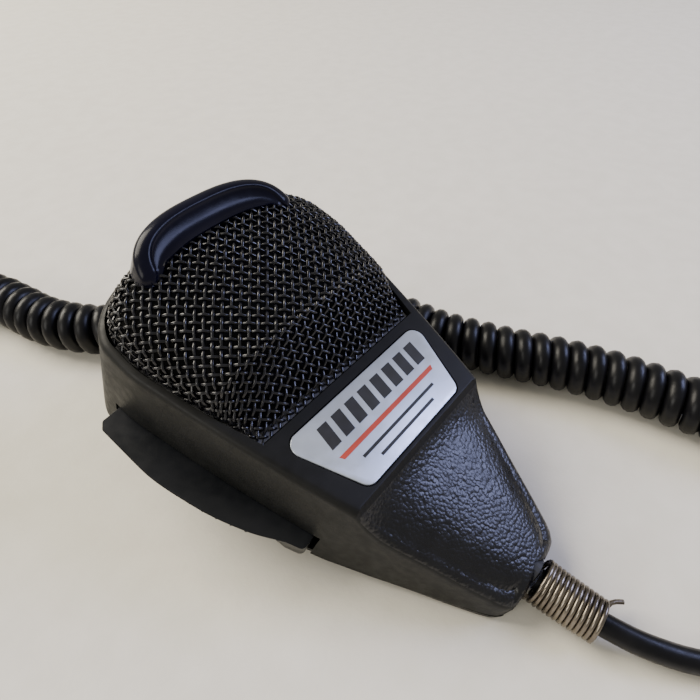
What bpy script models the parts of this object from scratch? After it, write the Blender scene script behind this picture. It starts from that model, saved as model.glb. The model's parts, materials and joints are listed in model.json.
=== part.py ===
"""Hand microphone: a wedge-shaped hand unit with a curly cord and a four-pin plug.

Sizes are in millimetres and are written to the meshes in metres. The hand unit is drawn in its own
frame, X to the viewer's right, Y towards the head and Z out of the front, with z = 0 on the flat
bezel. An empty then lays it on its back: it rests on the hang button and on its cord end. The cord
and its plug are drawn in the standing frame, where z = 0 is the surface that everything lies on.
"""
import math

import bmesh
import bpy
from mathutils import Matrix, Vector

MM = 0.001
GAP = 0.3                     # clearance between touching pieces

# How the hand unit lies
TILT_DEG = 17.8               # the head is raised by this much
FRAME_HEIGHT = 33.3           # height of the bezel frame's origin above the surface
SHIFT_X = 2.3                 # centres the hand unit's box on the origin
SHIFT_Y = -6.35

# Housing
HALF_WIDTHS = (               # (y, half-width of the bezel outline), cord end to head end
    (-52.0, 8.8), (-50.6, 10.2), (-46.0, 12.2), (-36.0, 15.8), (-27.0, 19.1), (-18.5, 21.7),
    (-17.0, 22.1), (-13.0, 23.15), (-11.0, 23.65), (-5.0, 25.1), (8.0, 28.0), (22.0, 30.7),
    (31.0, 32.0), (37.0, 31.8), (41.5, 29.9), (45.5, 25.8), (48.8, 19.4), (50.9, 11.6),
    (51.6, 5.0))
SHOULDER_Y = -18.5            # the bezel ends and the grained slope begins
SLOPE_STEP = 1.6
SLOPE_FALL = 0.185            # drop per millimetre of the slope
CROWN = 1.8                   # how much lower the slope's sides are than its middle
DRAFT = 0.05                  # the walls widen towards the back
WALL = 2.2
BACK_DEPTH = 30.0
BACK_KNEE_Y = -12.0
BACK_END_DEPTH = 18.2         # depth of the back at the cord end
COVER_THICK = 2.6
COVER_INSET = 0.7
BEZEL_EDGE_R = 1.5
SLOPE_EDGE_R = 2.2
COLUMNS = 6                   # faces across the housing
COVER_SCREWS = ((-26.4, 41.0), (26.4, 41.0), (9.6, -31.0))
SCREW_SINK = 1.6              # how deep the cover screws' heads sit
SCREW_HEAD_R = 2.5
SCREW_SHANK_R = 1.2
SCREW_LENGTH = 8.0
POST_R = 2.9                  # the screw posts inside the shell
BUTTON_PLACE = (0.0, 17.5)
BUTTON_STAND = 8.2            # how far the hang button stands off the cover
BUTTON_R = 7.5
BUTTON_NECK_R = 4.4

# Grille, lip guard and nameplate
GRILLE_Y0 = 2.8
GRILLE_Y1 = 49.0
GRILLE_RIM = ((2.8, 3.2), (17.0, 2.2), (27.0, 2.0))    # (y, bezel left beside the grille)
GRILLE_ROUND = 12.0           # length of the grille's rounded head end
GRILLE_HEIGHT = 12.8          # above the grille's foot
GRILLE_FOOT = -1.0
GRILLE_THICK = 0.9
FOAM_THICK = 2.0
PLATE_TOP_HALF = 22.2
PLATE_BOTTOM_HALF = 15.6
PLATE_HEIGHT = 17.0
PLATE_CORNER_R = 2.6
PLATE_THICK = 0.8
PLATE_RECESS = 1.0
GUARD_HALF = 18.4
GUARD_SHIFT = -1.0
GUARD_TIP_Y = 37.5
GUARD_LENGTH = 9.4
GUARD_WIDTH = 3.4
GUARD_TOP = 14.4
GUARD_TIP_TOP = 10.2
GUARD_REACH = 6.3             # from the crest to the inner edge, in the middle
GUARD_CLEARANCE = 1.2         # to the faceted grille under it
CARTRIDGE_BASE = (0.0, 27.0, -11.0)
CARTRIDGE_R = 13.4

# Push-to-talk lever
PIVOT = (-21.2, -10.8, -22.4)
LEVER_DEPTH = 9.1             # size along the pin
LEVER_TOP_Z = -17.6
LEVER_HEAD_Y = 34.0
LEVER_EDGE = (                # (y, x of the outer edge at the top, x at the bottom)
    (-11.0, -28.4, -26.6), (-4.2, -32.2, -27.4), (7.0, -36.1, -30.4), (19.9, -38.3, -32.2),
    (31.4, -38.4, -32.8))
LEVER_COVE = ((0.0, 0.0), (0.33, 0.49), (0.66, 0.84), (1.0, 1.0))    # (depth, how far the face recedes)
LEVER_STROKE_Y = 20.0         # where the lever meets the switch plunger
GRIP_RIBS = 12
RIB_FIRST_Y = -3.4
RIB_PITCH = 2.95
RIB_THICK = 0.5
RIB_ENDS = (0.8, 8.4)         # depths between which the ribs run
PIN_R = 1.1
PIN_TOP_Z = -13.0
SWITCH_LOW = (-21.6, 12.0, -25.8)
SWITCH_HIGH = (-15.2, 26.0, -18.6)
PLUNGER_R = 1.0

# Wiring inside
GLAND_R = 3.7
CLAMP_Y = -41.5
BOARD_LOW = (-8.0, -14.0, -24.6)
BOARD_HIGH = (14.0, 4.0, -23.0)
INNER_WIRE_R = 0.6

# Strain relief, cord and plug
RELIEF_PATH = (               # hand unit frame, centre of the spring
    (0.0, -53.0, -11.8), (0.0, -54.2, -11.7), (0.05, -57.2, -11.1), (0.1, -60.2, -10.4),
    (0.2, -63.2, -9.65), (0.3, -66.2, -8.9))
RELIEF_R = 5.0
RELIEF_END_R = 4.5
CORD_Z = RELIEF_PATH[0][2]
CORD_R = 2.35
COIL_R = 7.5
LEAD_ROUTE = (                # standing frame, centre of the cord
    (2.7, -67.8, 4.6), (4.3, -75.2, 4.0), (8.8, -85.0, 2.9), (17.4, -96.2, 2.6),
    (29.7, -104.35, 2.6), (43.7, -109.35, 2.6), (57.2, -106.35, 3.2), (65.2, -97.85, 5.4),
    (67.7, -88.85, 7.6))
COIL_ROUTE = (
    (67.9, -87.35, 7.6), (69.1, -75.85, 7.6), (67.8, -62.85, 7.6), (65.5, -47.25, 7.6),
    (61.3, -32.15, 7.6), (55.6, -16.85, 7.6), (50.7, -0.35, 7.6), (49.1, 15.15, 7.6),
    (46.2, 32.15, 7.6), (37.7, 49.15, 7.6), (23.7, 61.65, 7.6), (6.7, 69.15, 7.6),
    (-6.3, 75.65, 7.6), (-13.9, 86.15, 7.6), (-18.1, 97.15, 7.6), (-19.9, 109.15, 7.6),
    (-22.3, 121.15, 7.6), (-29.3, 132.15, 7.6), (-40.3, 139.15, 7.6), (-52.3, 141.15, 7.6))
TAIL_ROUTE = (
    (-53.7, 141.25, 7.6), (-63.3, 139.65, 5.2), (-74.3, 133.15, 2.8), (-82.8, 122.65, 2.8),
    (-87.1, 110.65, 5.6), (-88.7, 100.65, 9.2), (-88.9, 95.15, 9.8), (-88.9, 90.65, 9.8))
PLUG_START = (-88.9, 90.15, 9.8)
PLUG_AXIS = (0.0, -1.0, 0.0)
SHELL_R = 7.9
INSERT_R = 6.25
NUT_R = 9.6
NUT_LENGTH = 13.4
CONTACT_RING_R = 3.5

BLACK_ABS = ("black_abs", (0.018, 0.018, 0.017), 0.45, 0.0)
GLOSS_ABS = ("gloss_abs", (0.012, 0.012, 0.014), 0.22, 0.0)
BLACK_WIRE = ("black_wire", (0.015, 0.015, 0.017), 0.35, 0.6)
PLATE_SILVER = ("plate_silver", (0.52, 0.56, 0.64), 0.35, 0.6)
NICKEL = ("nickel", (0.55, 0.50, 0.44), 0.25, 1.0)
STEEL = ("steel", (0.56, 0.56, 0.58), 0.35, 1.0)
BRASS = ("brass", (0.70, 0.52, 0.22), 0.3, 1.0)
BLACK_RUBBER = ("black_rubber", (0.02, 0.02, 0.02), 0.6, 0.0)
GREY_FOAM = ("grey_foam", (0.05, 0.05, 0.05), 0.9, 0.0)
CARTRIDGE_GREY = ("cartridge_grey", (0.16, 0.16, 0.17), 0.45, 0.0)
BOARD_BROWN = ("board_brown", (0.28, 0.16, 0.07), 0.6, 0.0)
CORD_BLACK = ("cord_black", (0.02, 0.02, 0.021), 0.5, 0.0)
WIRE_RED = ("wire_red", (0.45, 0.03, 0.02), 0.5, 0.0)
WIRE_WHITE = ("wire_white", (0.7, 0.7, 0.68), 0.5, 0.0)
WIRE_BLUE = ("wire_blue", (0.03, 0.08, 0.4), 0.5, 0.0)


# ---------------------------------------------------------------- housing profile

def interpolate(table, value):
    """Return the straight-line value of a (key, value) table at a key."""
    for (k0, v0), (k1, v1) in zip(table, table[1:]):
        if value <= k1:
            return v0 + (v1 - v0) * max(0.0, (value - k0) / (k1 - k0))
    return table[-1][1]


def half_width(y):
    """Half-width of the bezel outline at y."""
    return interpolate(HALF_WIDTHS, y)


def front_z(x, y):
    """Height of the front: the flat bezel, then the crowned slope down to the cord end."""
    run = max(0.0, SHOULDER_Y - y)
    drop = SLOPE_STEP * (1.0 - math.exp(-run / 1.5)) + SLOPE_FALL * run
    across = x / half_width(y)
    return -drop - CROWN * across * across * min(1.0, run / 8.0)


def back_z(y):
    """Height of the back: flat under the head, rising towards the cord end."""
    end_y = HALF_WIDTHS[0][0]
    rise = max(0.0, BACK_KNEE_Y - y) / (BACK_KNEE_Y - end_y)
    return -BACK_DEPTH + rise * (BACK_DEPTH - BACK_END_DEPTH)


def edge_radius(y):
    """Radius of the front edge: tight on the bezel and full on the slope."""
    share = min(1.0, max(0.0, (SHOULDER_Y + 1.0 - y) / 5.0))
    return BEZEL_EDGE_R + share * (SLOPE_EDGE_R - BEZEL_EDGE_R)


def plan_grid(inset):
    """Return rows of points over the housing's outline, drawn in from its edge by a distance."""
    low = HALF_WIDTHS[0][0]
    length = HALF_WIDTHS[-1][0] - low
    grid = []
    for y, half in HALF_WIDTHS:
        distance = inset(y) if callable(inset) else inset
        place = low + distance + (y - low) * (length - 2.0 * distance) / length
        reach = half - distance
        grid.append([Vector((reach * (2.0 * j / COLUMNS - 1.0), place)) for j in range(COLUMNS + 1)])
    return grid


def ring_indices(rows):
    """Grid indices of the outline, anticlockwise from the cord end's left corner."""
    ring = [(0, j) for j in range(COLUMNS + 1)]
    ring += [(i, COLUMNS) for i in range(1, rows)]
    ring += [(rows - 1, j) for j in range(COLUMNS - 1, -1, -1)]
    ring += [(i, 0) for i in range(rows - 2, 0, -1)]
    return ring


def stacked_solid(layers):
    """Return vertices and faces of a closed solid through layers of (inset, height function)."""
    verts = []
    faces = []
    rows = len(HALF_WIDTHS)
    ring = ring_indices(rows)
    grids = [plan_grid(inset) for inset, _ in layers]

    def add_ring(index):
        start = len(verts)
        height = layers[index][1]
        for i, j in ring:
            point = grids[index][i][j]
            verts.append((point.x, point.y, height(point.x, point.y)))
        return start

    def add_cap(index, start, flip):
        height = layers[index][1]
        lookup = {key: start + n for n, key in enumerate(ring)}
        for i in range(1, rows - 1):
            for j in range(1, COLUMNS):
                point = grids[index][i][j]
                lookup[(i, j)] = len(verts)
                verts.append((point.x, point.y, height(point.x, point.y)))
        for i in range(rows - 1):
            for j in range(COLUMNS):
                quad = (lookup[(i, j)], lookup[(i, j + 1)], lookup[(i + 1, j + 1)],
                        lookup[(i + 1, j)])
                faces.append(quad[::-1] if flip else quad)

    starts = [add_ring(index) for index in range(len(layers))]
    count = len(ring)
    for low, high in zip(starts, starts[1:]):
        for n in range(count):
            m = (n + 1) % count
            faces.append((low + n, low + m, high + m, high + n))
    add_cap(0, starts[0], True)
    add_cap(len(layers) - 1, starts[-1], False)
    return verts, faces


# ---------------------------------------------------------------- general helpers

def material_of(finish):
    """Make a part's own material from a (name, colour, roughness, metallic) finish."""
    name, colour, roughness, metallic = finish
    material = bpy.data.materials.new(name)
    material.use_nodes = True
    shader = material.node_tree.nodes["Principled BSDF"]
    shader.inputs["Base Color"].default_value = (*colour, 1.0)
    shader.inputs["Roughness"].default_value = roughness
    shader.inputs["Metallic"].default_value = metallic
    material.diffuse_color = (*colour, 1.0)
    return material


def add_part(name, geometry, finish, pivot=(0.0, 0.0, 0.0), tilted=True, smooth=35.0):
    """Add a named object from vertices and faces in millimetres.

    The object's origin is its pivot. A tilted part belongs to the hand unit's frame.
    """
    verts, faces = geometry
    origin = Vector(pivot)
    mesh = bpy.data.meshes.new(name)
    mesh.from_pydata([tuple((Vector(v) - origin) * MM) for v in verts], [], faces)
    body = bmesh.new()
    body.from_mesh(mesh)
    bmesh.ops.remove_doubles(body, verts=body.verts, dist=1e-6)
    bmesh.ops.recalc_face_normals(body, faces=body.faces)
    body.to_mesh(mesh)
    body.free()
    if smooth:
        mesh.shade_smooth()
        mesh.set_sharp_from_angle(angle=math.radians(smooth))
    part = bpy.data.objects.new(name, mesh)
    bpy.context.collection.objects.link(part)
    part.location = origin * MM
    if finish:
        mesh.materials.append(material_of(finish))
    if tilted:
        part.parent = bpy.data.objects["hand_unit_frame"]
    bpy.context.view_layer.update()
    return part


def combine(part, geometry, operation, tilted=True):
    """Cut a solid from a part, or join it to the part, and leave no tool behind."""
    tool = add_part("tool", geometry, None, tilted=tilted, smooth=0.0)
    tool.hide_render = True
    tool.display_type = "WIRE"
    boolean = part.modifiers.new("boolean", "BOOLEAN")
    boolean.operation = operation
    boolean.solver = "EXACT"
    boolean.object = tool
    bpy.context.view_layer.update()
    shaped = part.evaluated_get(bpy.context.evaluated_depsgraph_get())
    mesh = bpy.data.meshes.new_from_object(shaped)
    part.modifiers.clear()
    part.data = mesh
    bpy.data.objects.remove(tool)
    mesh.shade_smooth()
    mesh.set_sharp_from_angle(angle=math.radians(35.0))


def cut(part, geometry, tilted=True):
    """Remove a solid from a part."""
    combine(part, geometry, "DIFFERENCE", tilted)


def join(part, geometry, tilted=True):
    """Add a solid to a part."""
    combine(part, geometry, "UNION", tilted)


def box(low, high):
    """Box between two corners."""
    (x0, y0, z0), (x1, y1, z1) = low, high
    return prism([(x0, y0), (x1, y0), (x1, y1), (x0, y1)], z0, z1)


def prism(outline, z0, z1):
    """Upright prism over an outline."""
    count = len(outline)
    verts = [(x, y, z0) for x, y in outline] + [(x, y, z1) for x, y in outline]
    faces = [tuple(range(count))[::-1], tuple(range(count, 2 * count))]
    for n in range(count):
        m = (n + 1) % count
        faces.append((n, m, count + m, count + n))
    return verts, faces


def rounded_outline(corners, radius, steps=4):
    """Outline through corners, each rounded by an arc; a corner may give its own radius."""
    outline = []
    count = len(corners)
    for n, corner in enumerate(corners):
        here = Vector(corner[:2])
        size = corner[2] if len(corner) > 2 else radius
        to_prev = (Vector(corners[n - 1][:2]) - here).normalized()
        to_next = (Vector(corners[(n + 1) % count][:2]) - here).normalized()
        half = to_prev.angle(to_next) / 2.0
        centre = here + (to_prev + to_next).normalized() * (size / math.sin(half))
        start = here + to_prev * (size / math.tan(half)) - centre
        end = here + to_next * (size / math.tan(half)) - centre
        sweep = start.angle_signed(end)
        for step in range(steps + 1):
            turn = Matrix.Rotation(-sweep * step / steps, 2)
            point = centre + turn @ start
            outline.append((point.x, point.y))
    return outline


def frame_on(axis):
    """Rotation that turns +Z onto an axis."""
    return Vector(axis).to_track_quat("Z", "Y").to_matrix()


def turned(profile, base, axis, segments=24, closed=False):
    """Solid of revolution about an axis: profile points are (radius, height above the base).

    A closed profile makes a ring; an open one is capped flat at both ends.
    """
    turn = frame_on(axis)
    origin = Vector(base)
    verts = []
    faces = []
    for radius, height in profile:
        for n in range(segments):
            angle = 2.0 * math.pi * n / segments
            point = turn @ Vector((radius * math.cos(angle), radius * math.sin(angle), height))
            verts.append(tuple(origin + point))
    pairs = list(zip(range(len(profile)), range(1, len(profile))))
    if closed:
        pairs.append((len(profile) - 1, 0))
    for low, high in pairs:
        for n in range(segments):
            m = (n + 1) % segments
            faces.append((low * segments + n, low * segments + m,
                          high * segments + m, high * segments + n))
    if not closed:
        faces.append(tuple(range(segments))[::-1])
        last = (len(profile) - 1) * segments
        faces.append(tuple(range(last, last + segments)))
    return verts, faces


def rod(start, end, radius, segments=16):
    """Plain round bar between two points."""
    run = Vector(end) - Vector(start)
    return turned([(radius, 0.0), (radius, run.length)], start, run, segments)


def sleeve(base, axis, inner, outer, length, segments=24):
    """Plain tube with a bore."""
    profile = [(inner, 0.0), (outer, 0.0), (outer, length), (inner, length)]
    return turned(profile, base, axis, segments, closed=True)


def screw(base, axis, head_r, head_h, shank_r, shank_l):
    """Screw whose head stands on the base point, with the shank running back along the axis."""
    profile = [(shank_r * 0.6, -shank_l), (shank_r, -shank_l + shank_r * 0.5), (shank_r, 0.0),
               (head_r, 0.0), (head_r, head_h * 0.6), (head_r * 0.8, head_h)]
    return turned(profile, base, axis, 14)


def smooth_points(route, spacing):
    """Points a fixed distance apart on a smooth curve through a route's points."""
    dense = []
    points = [Vector(p) for p in route]
    for n in range(len(points) - 1):
        p0 = points[max(n - 1, 0)]
        p1 = points[n]
        p2 = points[n + 1]
        p3 = points[min(n + 2, len(points) - 1)]
        for step in range(20):
            t = step / 20.0
            bend = 2.0 * p0 - 5.0 * p1 + 4.0 * p2 - p3
            twist = 3.0 * p1 - p0 - 3.0 * p2 + p3
            dense.append(0.5 * (2.0 * p1 + (p2 - p0) * t + bend * t ** 2 + twist * t ** 3))
    dense.append(points[-1])
    lengths = [0.0]
    for a, b in zip(dense, dense[1:]):
        lengths.append(lengths[-1] + (b - a).length)
    count = max(2, round(lengths[-1] / spacing))
    result = []
    index = 0
    for n in range(count + 1):
        target = lengths[-1] * n / count
        while index < len(dense) - 2 and lengths[index + 1] < target:
            index += 1
        share = (target - lengths[index]) / (lengths[index + 1] - lengths[index])
        result.append(dense[index].lerp(dense[index + 1], share))
    return result


def add_cord(name, route, radius, spacing, resolution, finish, tilted=False):
    """Add a cord as a bevelled curve with filled caps along a smooth route."""
    curve = bpy.data.curves.new(name, "CURVE")
    curve.dimensions = "3D"
    curve.bevel_depth = radius * MM
    curve.bevel_resolution = resolution
    curve.use_fill_caps = True
    curve.resolution_u = 1
    spline = curve.splines.new("POLY")
    points = smooth_points(route, spacing)
    spline.points.add(len(points) - 1)
    for point, place in zip(spline.points, points):
        point.co = (*(place * MM), 1.0)
    curve.materials.append(material_of(finish))
    cord = bpy.data.objects.new(name, curve)
    bpy.context.collection.objects.link(cord)
    if tilted:
        cord.parent = bpy.data.objects["hand_unit_frame"]
    return cord


# ---------------------------------------------------------------- housing

def parting_z(x, y):
    """Height of the seam between the shell and the back cover."""
    return back_z(y) + COVER_THICK


def outer_layers(bottom):
    """Layers of the housing's outside, from a bottom height function up to the front."""
    def draft_inset(height):
        return lambda y: -DRAFT * (front_z(0.0, y) - height(0.0, y))
    layers = [(draft_inset(bottom), bottom)]
    for degrees in (0.0, 30.0, 60.0, 90.0):
        sine = math.sin(math.radians(degrees))
        cosine = math.cos(math.radians(degrees))
        layers.append((lambda y, c=cosine: edge_radius(y) * (1.0 - c),
                       lambda x, y, s=sine: front_z(x, y) - edge_radius(y) * (1.0 - s)))
    return layers


def add_front_shell():
    """Front shell: a deep tub, open at the back, with its openings and screw posts."""
    shell = add_part("front_shell", stacked_solid(outer_layers(parting_z)), BLACK_ABS)
    cavity = stacked_solid([
        (WALL - 1.6, lambda x, y: parting_z(x, y) - 3.0),
        (WALL, lambda x, y: front_z(x, y) - WALL - 3.0),
        (WALL + 1.0, lambda x, y: front_z(x, y) - WALL)])
    cut(shell, cavity)
    for x, y in COVER_SCREWS:
        foot = (x, y, parting_z(x, y) + 3.0 * GAP)
        join(shell, rod(foot, (x, y, front_z(x, y) - WALL * 0.6), POST_R, 12))
    px, py, _ = PIVOT
    join(shell, rod((px, py, LEVER_TOP_Z), (px, py, -WALL * 0.6), 3.0, 14))
    cut(shell, grille_opening())
    cut(shell, prism(plate_outline(GAP), -PLATE_RECESS, 2.0))
    cut(shell, lever_slot())
    cut(shell, rod((px, py, LEVER_TOP_Z), (px, py, PIN_TOP_Z + GAP), PIN_R + GAP, 16))
    cut(shell, rod((0.0, -60.0, CORD_Z), (0.0, -40.0, CORD_Z), GLAND_R + GAP, 20))
    for x, y in COVER_SCREWS:
        seam = parting_z(x, y)
        cut(shell, rod((x, y, seam - 1.0), (x, y, seam + SCREW_LENGTH + 1.0), SCREW_SHANK_R + GAP, 12))
    return shell


def grille_rows(inset):
    """Rows of the grille's base outline, drawn in from the opening by a distance."""
    rows = []
    low = GRILLE_Y0 + inset
    high = GRILLE_Y1 - inset
    for n in range(13):
        share = n / 12.0
        y = low + (high - low) * math.sin(share * math.pi / 2.0) ** 0.9
        rows.append((y, head_half(y, inset)))
    return rows


def head_half(y, inset=0.0):
    """Half-width of the grille opening: the outline less its rim, closed round at the head."""
    rim = interpolate(GRILLE_RIM, y)
    open_half = half_width(y) - rim - inset
    reach = max(0.0, (GRILLE_Y1 - inset - y) / GRILLE_ROUND)
    if reach >= 1.0:
        return open_half
    round_off = math.sqrt(max(0.0, 1.0 - (1.0 - reach) ** 2.8))
    widest = half_width(GRILLE_Y1 - GRILLE_ROUND) - rim - inset
    return max(4.0, min(open_half, widest * round_off))


def grille_opening():
    """Cutter for the opening under the grille."""
    rows = grille_rows(-GAP)
    outline = [(half, y) for y, half in rows] + [(-half, y) for y, half in reversed(rows)]
    return prism(outline, -8.0, 6.0)


def dome_height(y, inset=0.0):
    """Height of the grille's ridge line at y: a slope up, a crowned top and a round head end."""
    rise = (y - GRILLE_Y0) / 10.8
    fall = (GRILLE_Y1 - y) / 9.5
    up = min(1.0, max(0.0, rise))
    down = min(1.0, max(0.0, fall))
    slope = up - 0.10 * math.sin(math.pi * up) ** 2 if up < 1.0 else 1.0
    head = math.sqrt(max(0.0, 1.0 - (1.0 - down) ** 2.3))
    return (GRILLE_HEIGHT - inset) * slope * head


def dome_solid(outside, inside):
    """Thin dome: its outer and inner skins stand on one rim, at two offsets below the grille."""
    columns = 14
    verts = []
    faces = []
    skins = []
    for offset in (outside, inside):
        rows = grille_rows(offset + GAP)
        skin = []
        for y, half in rows:
            line = []
            for j in range(columns + 1):
                u = -math.cos(math.pi * j / columns)
                height = dome_height(y, offset) * max(0.0, 1.0 - abs(u) ** 2.6) ** 0.45
                line.append(len(verts))
                verts.append((u * half, y, height + GRILLE_FOOT))
            skin.append(line)
        skins.append(skin)
    rows = len(skins[0])
    for skin in skins:
        for i in range(rows - 1):
            for j in range(columns):
                faces.append((skin[i][j], skin[i][j + 1], skin[i + 1][j + 1], skin[i + 1][j]))
    edge = [(0, j) for j in range(columns + 1)] + [(i, columns) for i in range(1, rows)]
    edge += [(rows - 1, j) for j in range(columns - 1, -1, -1)]
    edge += [(i, 0) for i in range(rows - 2, 0, -1)]
    for a, b in zip(edge, edge[1:] + edge[:1]):
        faces.append((skins[0][a[0]][a[1]], skins[0][b[0]][b[1]],
                      skins[1][b[0]][b[1]], skins[1][a[0]][a[1]]))
    return verts, faces


def frame_ring(outer_inset, inner_inset, z0, z1):
    """Flat frame that follows the grille opening between two insets."""
    outer = grille_rows(outer_inset)
    inner = grille_rows(inner_inset)

    def loop(rows):
        return [(half, y) for y, half in rows] + [(-half, y) for y, half in reversed(rows)]
    loops = [loop(outer), loop(inner)]
    count = len(loops[0])
    verts = []
    for outline, z in ((loops[0], z0), (loops[0], z1), (loops[1], z1), (loops[1], z0)):
        verts += [(x, y, z) for x, y in outline]
    faces = []
    for k in range(4):
        low = k * count
        high = ((k + 1) % 4) * count
        for n in range(count):
            m = (n + 1) % count
            faces.append((low + n, low + m, high + m, high + n))
    return verts, faces


def plate_outline(grow=0.0):
    """Outline of the nameplate: a trapezoid with rounded corners."""
    top = PLATE_TOP_HALF + grow
    bottom = PLATE_BOTTOM_HALF + grow
    corners = ((-bottom, -PLATE_HEIGHT - grow), (bottom, -PLATE_HEIGHT - grow), (top, grow), (-top, grow))
    return rounded_outline(corners, PLATE_CORNER_R + grow)


def add_back_cover():
    """Back cover with its screw seats and the seat of the hang button."""
    bevel = 0.8
    spread = DRAFT * 20.0

    def lowest(x, y):
        return back_z(y)

    def highest(x, y):
        return back_z(y) + COVER_THICK - GAP
    layers = [
        (COVER_INSET + bevel - spread, lowest),
        (COVER_INSET - spread, lambda x, y: back_z(y) + bevel),
        (COVER_INSET - spread, highest)]
    cover = add_part("back_cover", stacked_solid(layers), BLACK_ABS)
    for x, y in COVER_SCREWS:
        below = (x, y, back_z(y) - 3.0)
        cut(cover, rod(below, (x, y, back_z(y) + 5.0), SCREW_SHANK_R + GAP, 12))
        cut(cover, rod(below, (x, y, back_z(y) + SCREW_SINK), SCREW_HEAD_R + GAP, 14))
    x, y = BUTTON_PLACE
    cut(cover, rod((x, y, -BACK_DEPTH - 3.0), (x, y, -BACK_DEPTH + 5.0), 1.9, 14))
    return cover


def add_hang_button():
    """Hang button, its screw from the inside, and the cover screws."""
    x, y = BUTTON_PLACE
    base = (x, y, -BACK_DEPTH - GAP)
    reach = BUTTON_STAND - GAP
    profile = [(BUTTON_NECK_R, 1.2), (BUTTON_NECK_R, reach - 3.2), (BUTTON_R - 0.6, reach - 2.4),
               (BUTTON_R, reach - 1.6), (BUTTON_R, reach - 0.7), (BUTTON_R - 0.6, reach), (1.2, reach),
               (1.2, reach - 0.8), (1.6, reach - 1.6), (1.6, 0.0), (5.6, 0.0)]
    button = turned(profile, base, (0, 0, -1), 28, closed=True)
    add_part("hang_button", button, NICKEL)
    top = (x, y, -BACK_DEPTH + COVER_THICK)
    add_part("hang_button_screw", screw(top, (0, 0, 1), 3.2, 1.6, 1.25, COVER_THICK + 6.0), STEEL)
    for number, (sx, sy) in enumerate(COVER_SCREWS, 1):
        seat = (sx, sy, back_z(sy) + SCREW_SINK - GAP)
        fixing = screw(seat, (0, 0, -1), SCREW_HEAD_R, 0.8, SCREW_SHANK_R, SCREW_LENGTH)
        add_part(f"cover_screw_{number}", fixing, STEEL)


# ---------------------------------------------------------------- head

def guard_section(t):
    """Cross-section of the lip guard at -1 to 1 along it: points (x, y, z) round the section."""
    turn = t * math.pi / 2.0
    along = max(0.0, math.cos(turn)) ** 0.75
    x = GUARD_SHIFT + math.copysign(GUARD_HALF * abs(math.sin(turn)) ** 0.75, t)
    crest = Vector((x, GUARD_TIP_Y + GUARD_LENGTH * along, GUARD_TIP_TOP))
    crest.z += (GUARD_TOP - GUARD_TIP_TOP) * along ** 0.9
    aside = 0.9 * math.sin(turn) ** 3 + 0.1 * math.sin(turn)
    out = Vector((aside, max(0.0, math.cos(turn)), 0.0)).normalized()
    half = GUARD_WIDTH / 2.0
    reach = half + (GUARD_REACH - half) * along ** 0.6
    edge = Vector((0.0, 0.0, 0.8))
    outer_foot = crest + out * (half + (GUARD_REACH - half) * 0.3 * along)
    inner_foot = crest - out * reach
    inner_edge = inner_foot - edge * (0.6 + 1.8 * along)
    outer_foot.z = GAP
    inner_foot.z = GAP
    return [inner_foot, outer_foot, crest + out * half - edge, crest + out * (half - 0.7),
            crest - out * (half - 0.7), inner_edge]


def guard_solid():
    """Lip guard: an arched wall that rises from the rim over the head end of the grille."""
    sections = 22
    verts = []
    faces = []
    for n in range(sections + 1):
        verts += [tuple(point) for point in guard_section(2.0 * n / sections - 1.0)]
    count = len(verts) // (sections + 1)
    for n in range(sections):
        for a in range(count):
            b = (a + 1) % count
            low = n * count
            faces.append((low + a, low + b, low + count + b, low + count + a))
    faces.append(tuple(range(count))[::-1])
    faces.append(tuple(range(sections * count, (sections + 1) * count)))
    return verts, faces


def add_head():
    """Grille, its retainer, the foam behind it, the lip guard and the cartridge."""
    add_part("grille", dome_solid(0.0, GRILLE_THICK), BLACK_WIRE)
    foam_top = GRILLE_THICK + GAP
    add_part("windscreen_foam", dome_solid(foam_top, foam_top + FOAM_THICK), GREY_FOAM)
    guard = add_part("lip_guard", guard_solid(), GLOSS_ABS)
    cut(guard, dome_solid(-GUARD_CLEARANCE, 12.2))
    add_part("grille_retainer", frame_ring(0.2, 2.8, -4.2, GRILLE_FOOT - GAP), BLACK_ABS)
    radius = CARTRIDGE_R
    capsule = [(radius - 0.8, 0.0), (radius, 0.8), (radius, 8.0), (radius - 4.4, 9.0)]
    add_part("cartridge", turned(capsule, CARTRIDGE_BASE, (0, 0, 1), 28), CARTRIDGE_GREY)
    ring = [(radius + GAP, 1.5), (radius + 1.8, 1.5), (radius + 1.8, 6.5), (radius + GAP, 6.5)]
    add_part("cartridge_ring", turned(ring, CARTRIDGE_BASE, (0, 0, 1), 28, closed=True), BLACK_RUBBER)


def add_nameplate():
    """Nameplate in its recess."""
    top = -PLATE_RECESS + GAP + PLATE_THICK
    add_part("nameplate", prism(plate_outline(), -PLATE_RECESS + GAP, top), PLATE_SILVER)


# ---------------------------------------------------------------- lever and switch

def lever_slot():
    """Cutter for the slot in the left wall, open to the back cover."""
    low = LEVER_TOP_Z - LEVER_DEPTH - 8.0
    head_y = LEVER_HEAD_Y + 0.8
    foot_y = PIVOT[1] - 4.8
    inner_x = PIVOT[0] + 5.2
    outline = [(-45.0, foot_y), (inner_x, foot_y), (inner_x, -9.0), (-24.0, head_y), (-45.0, head_y)]
    return prism(outline, low, LEVER_TOP_Z + 2.0 * GAP)


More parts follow.
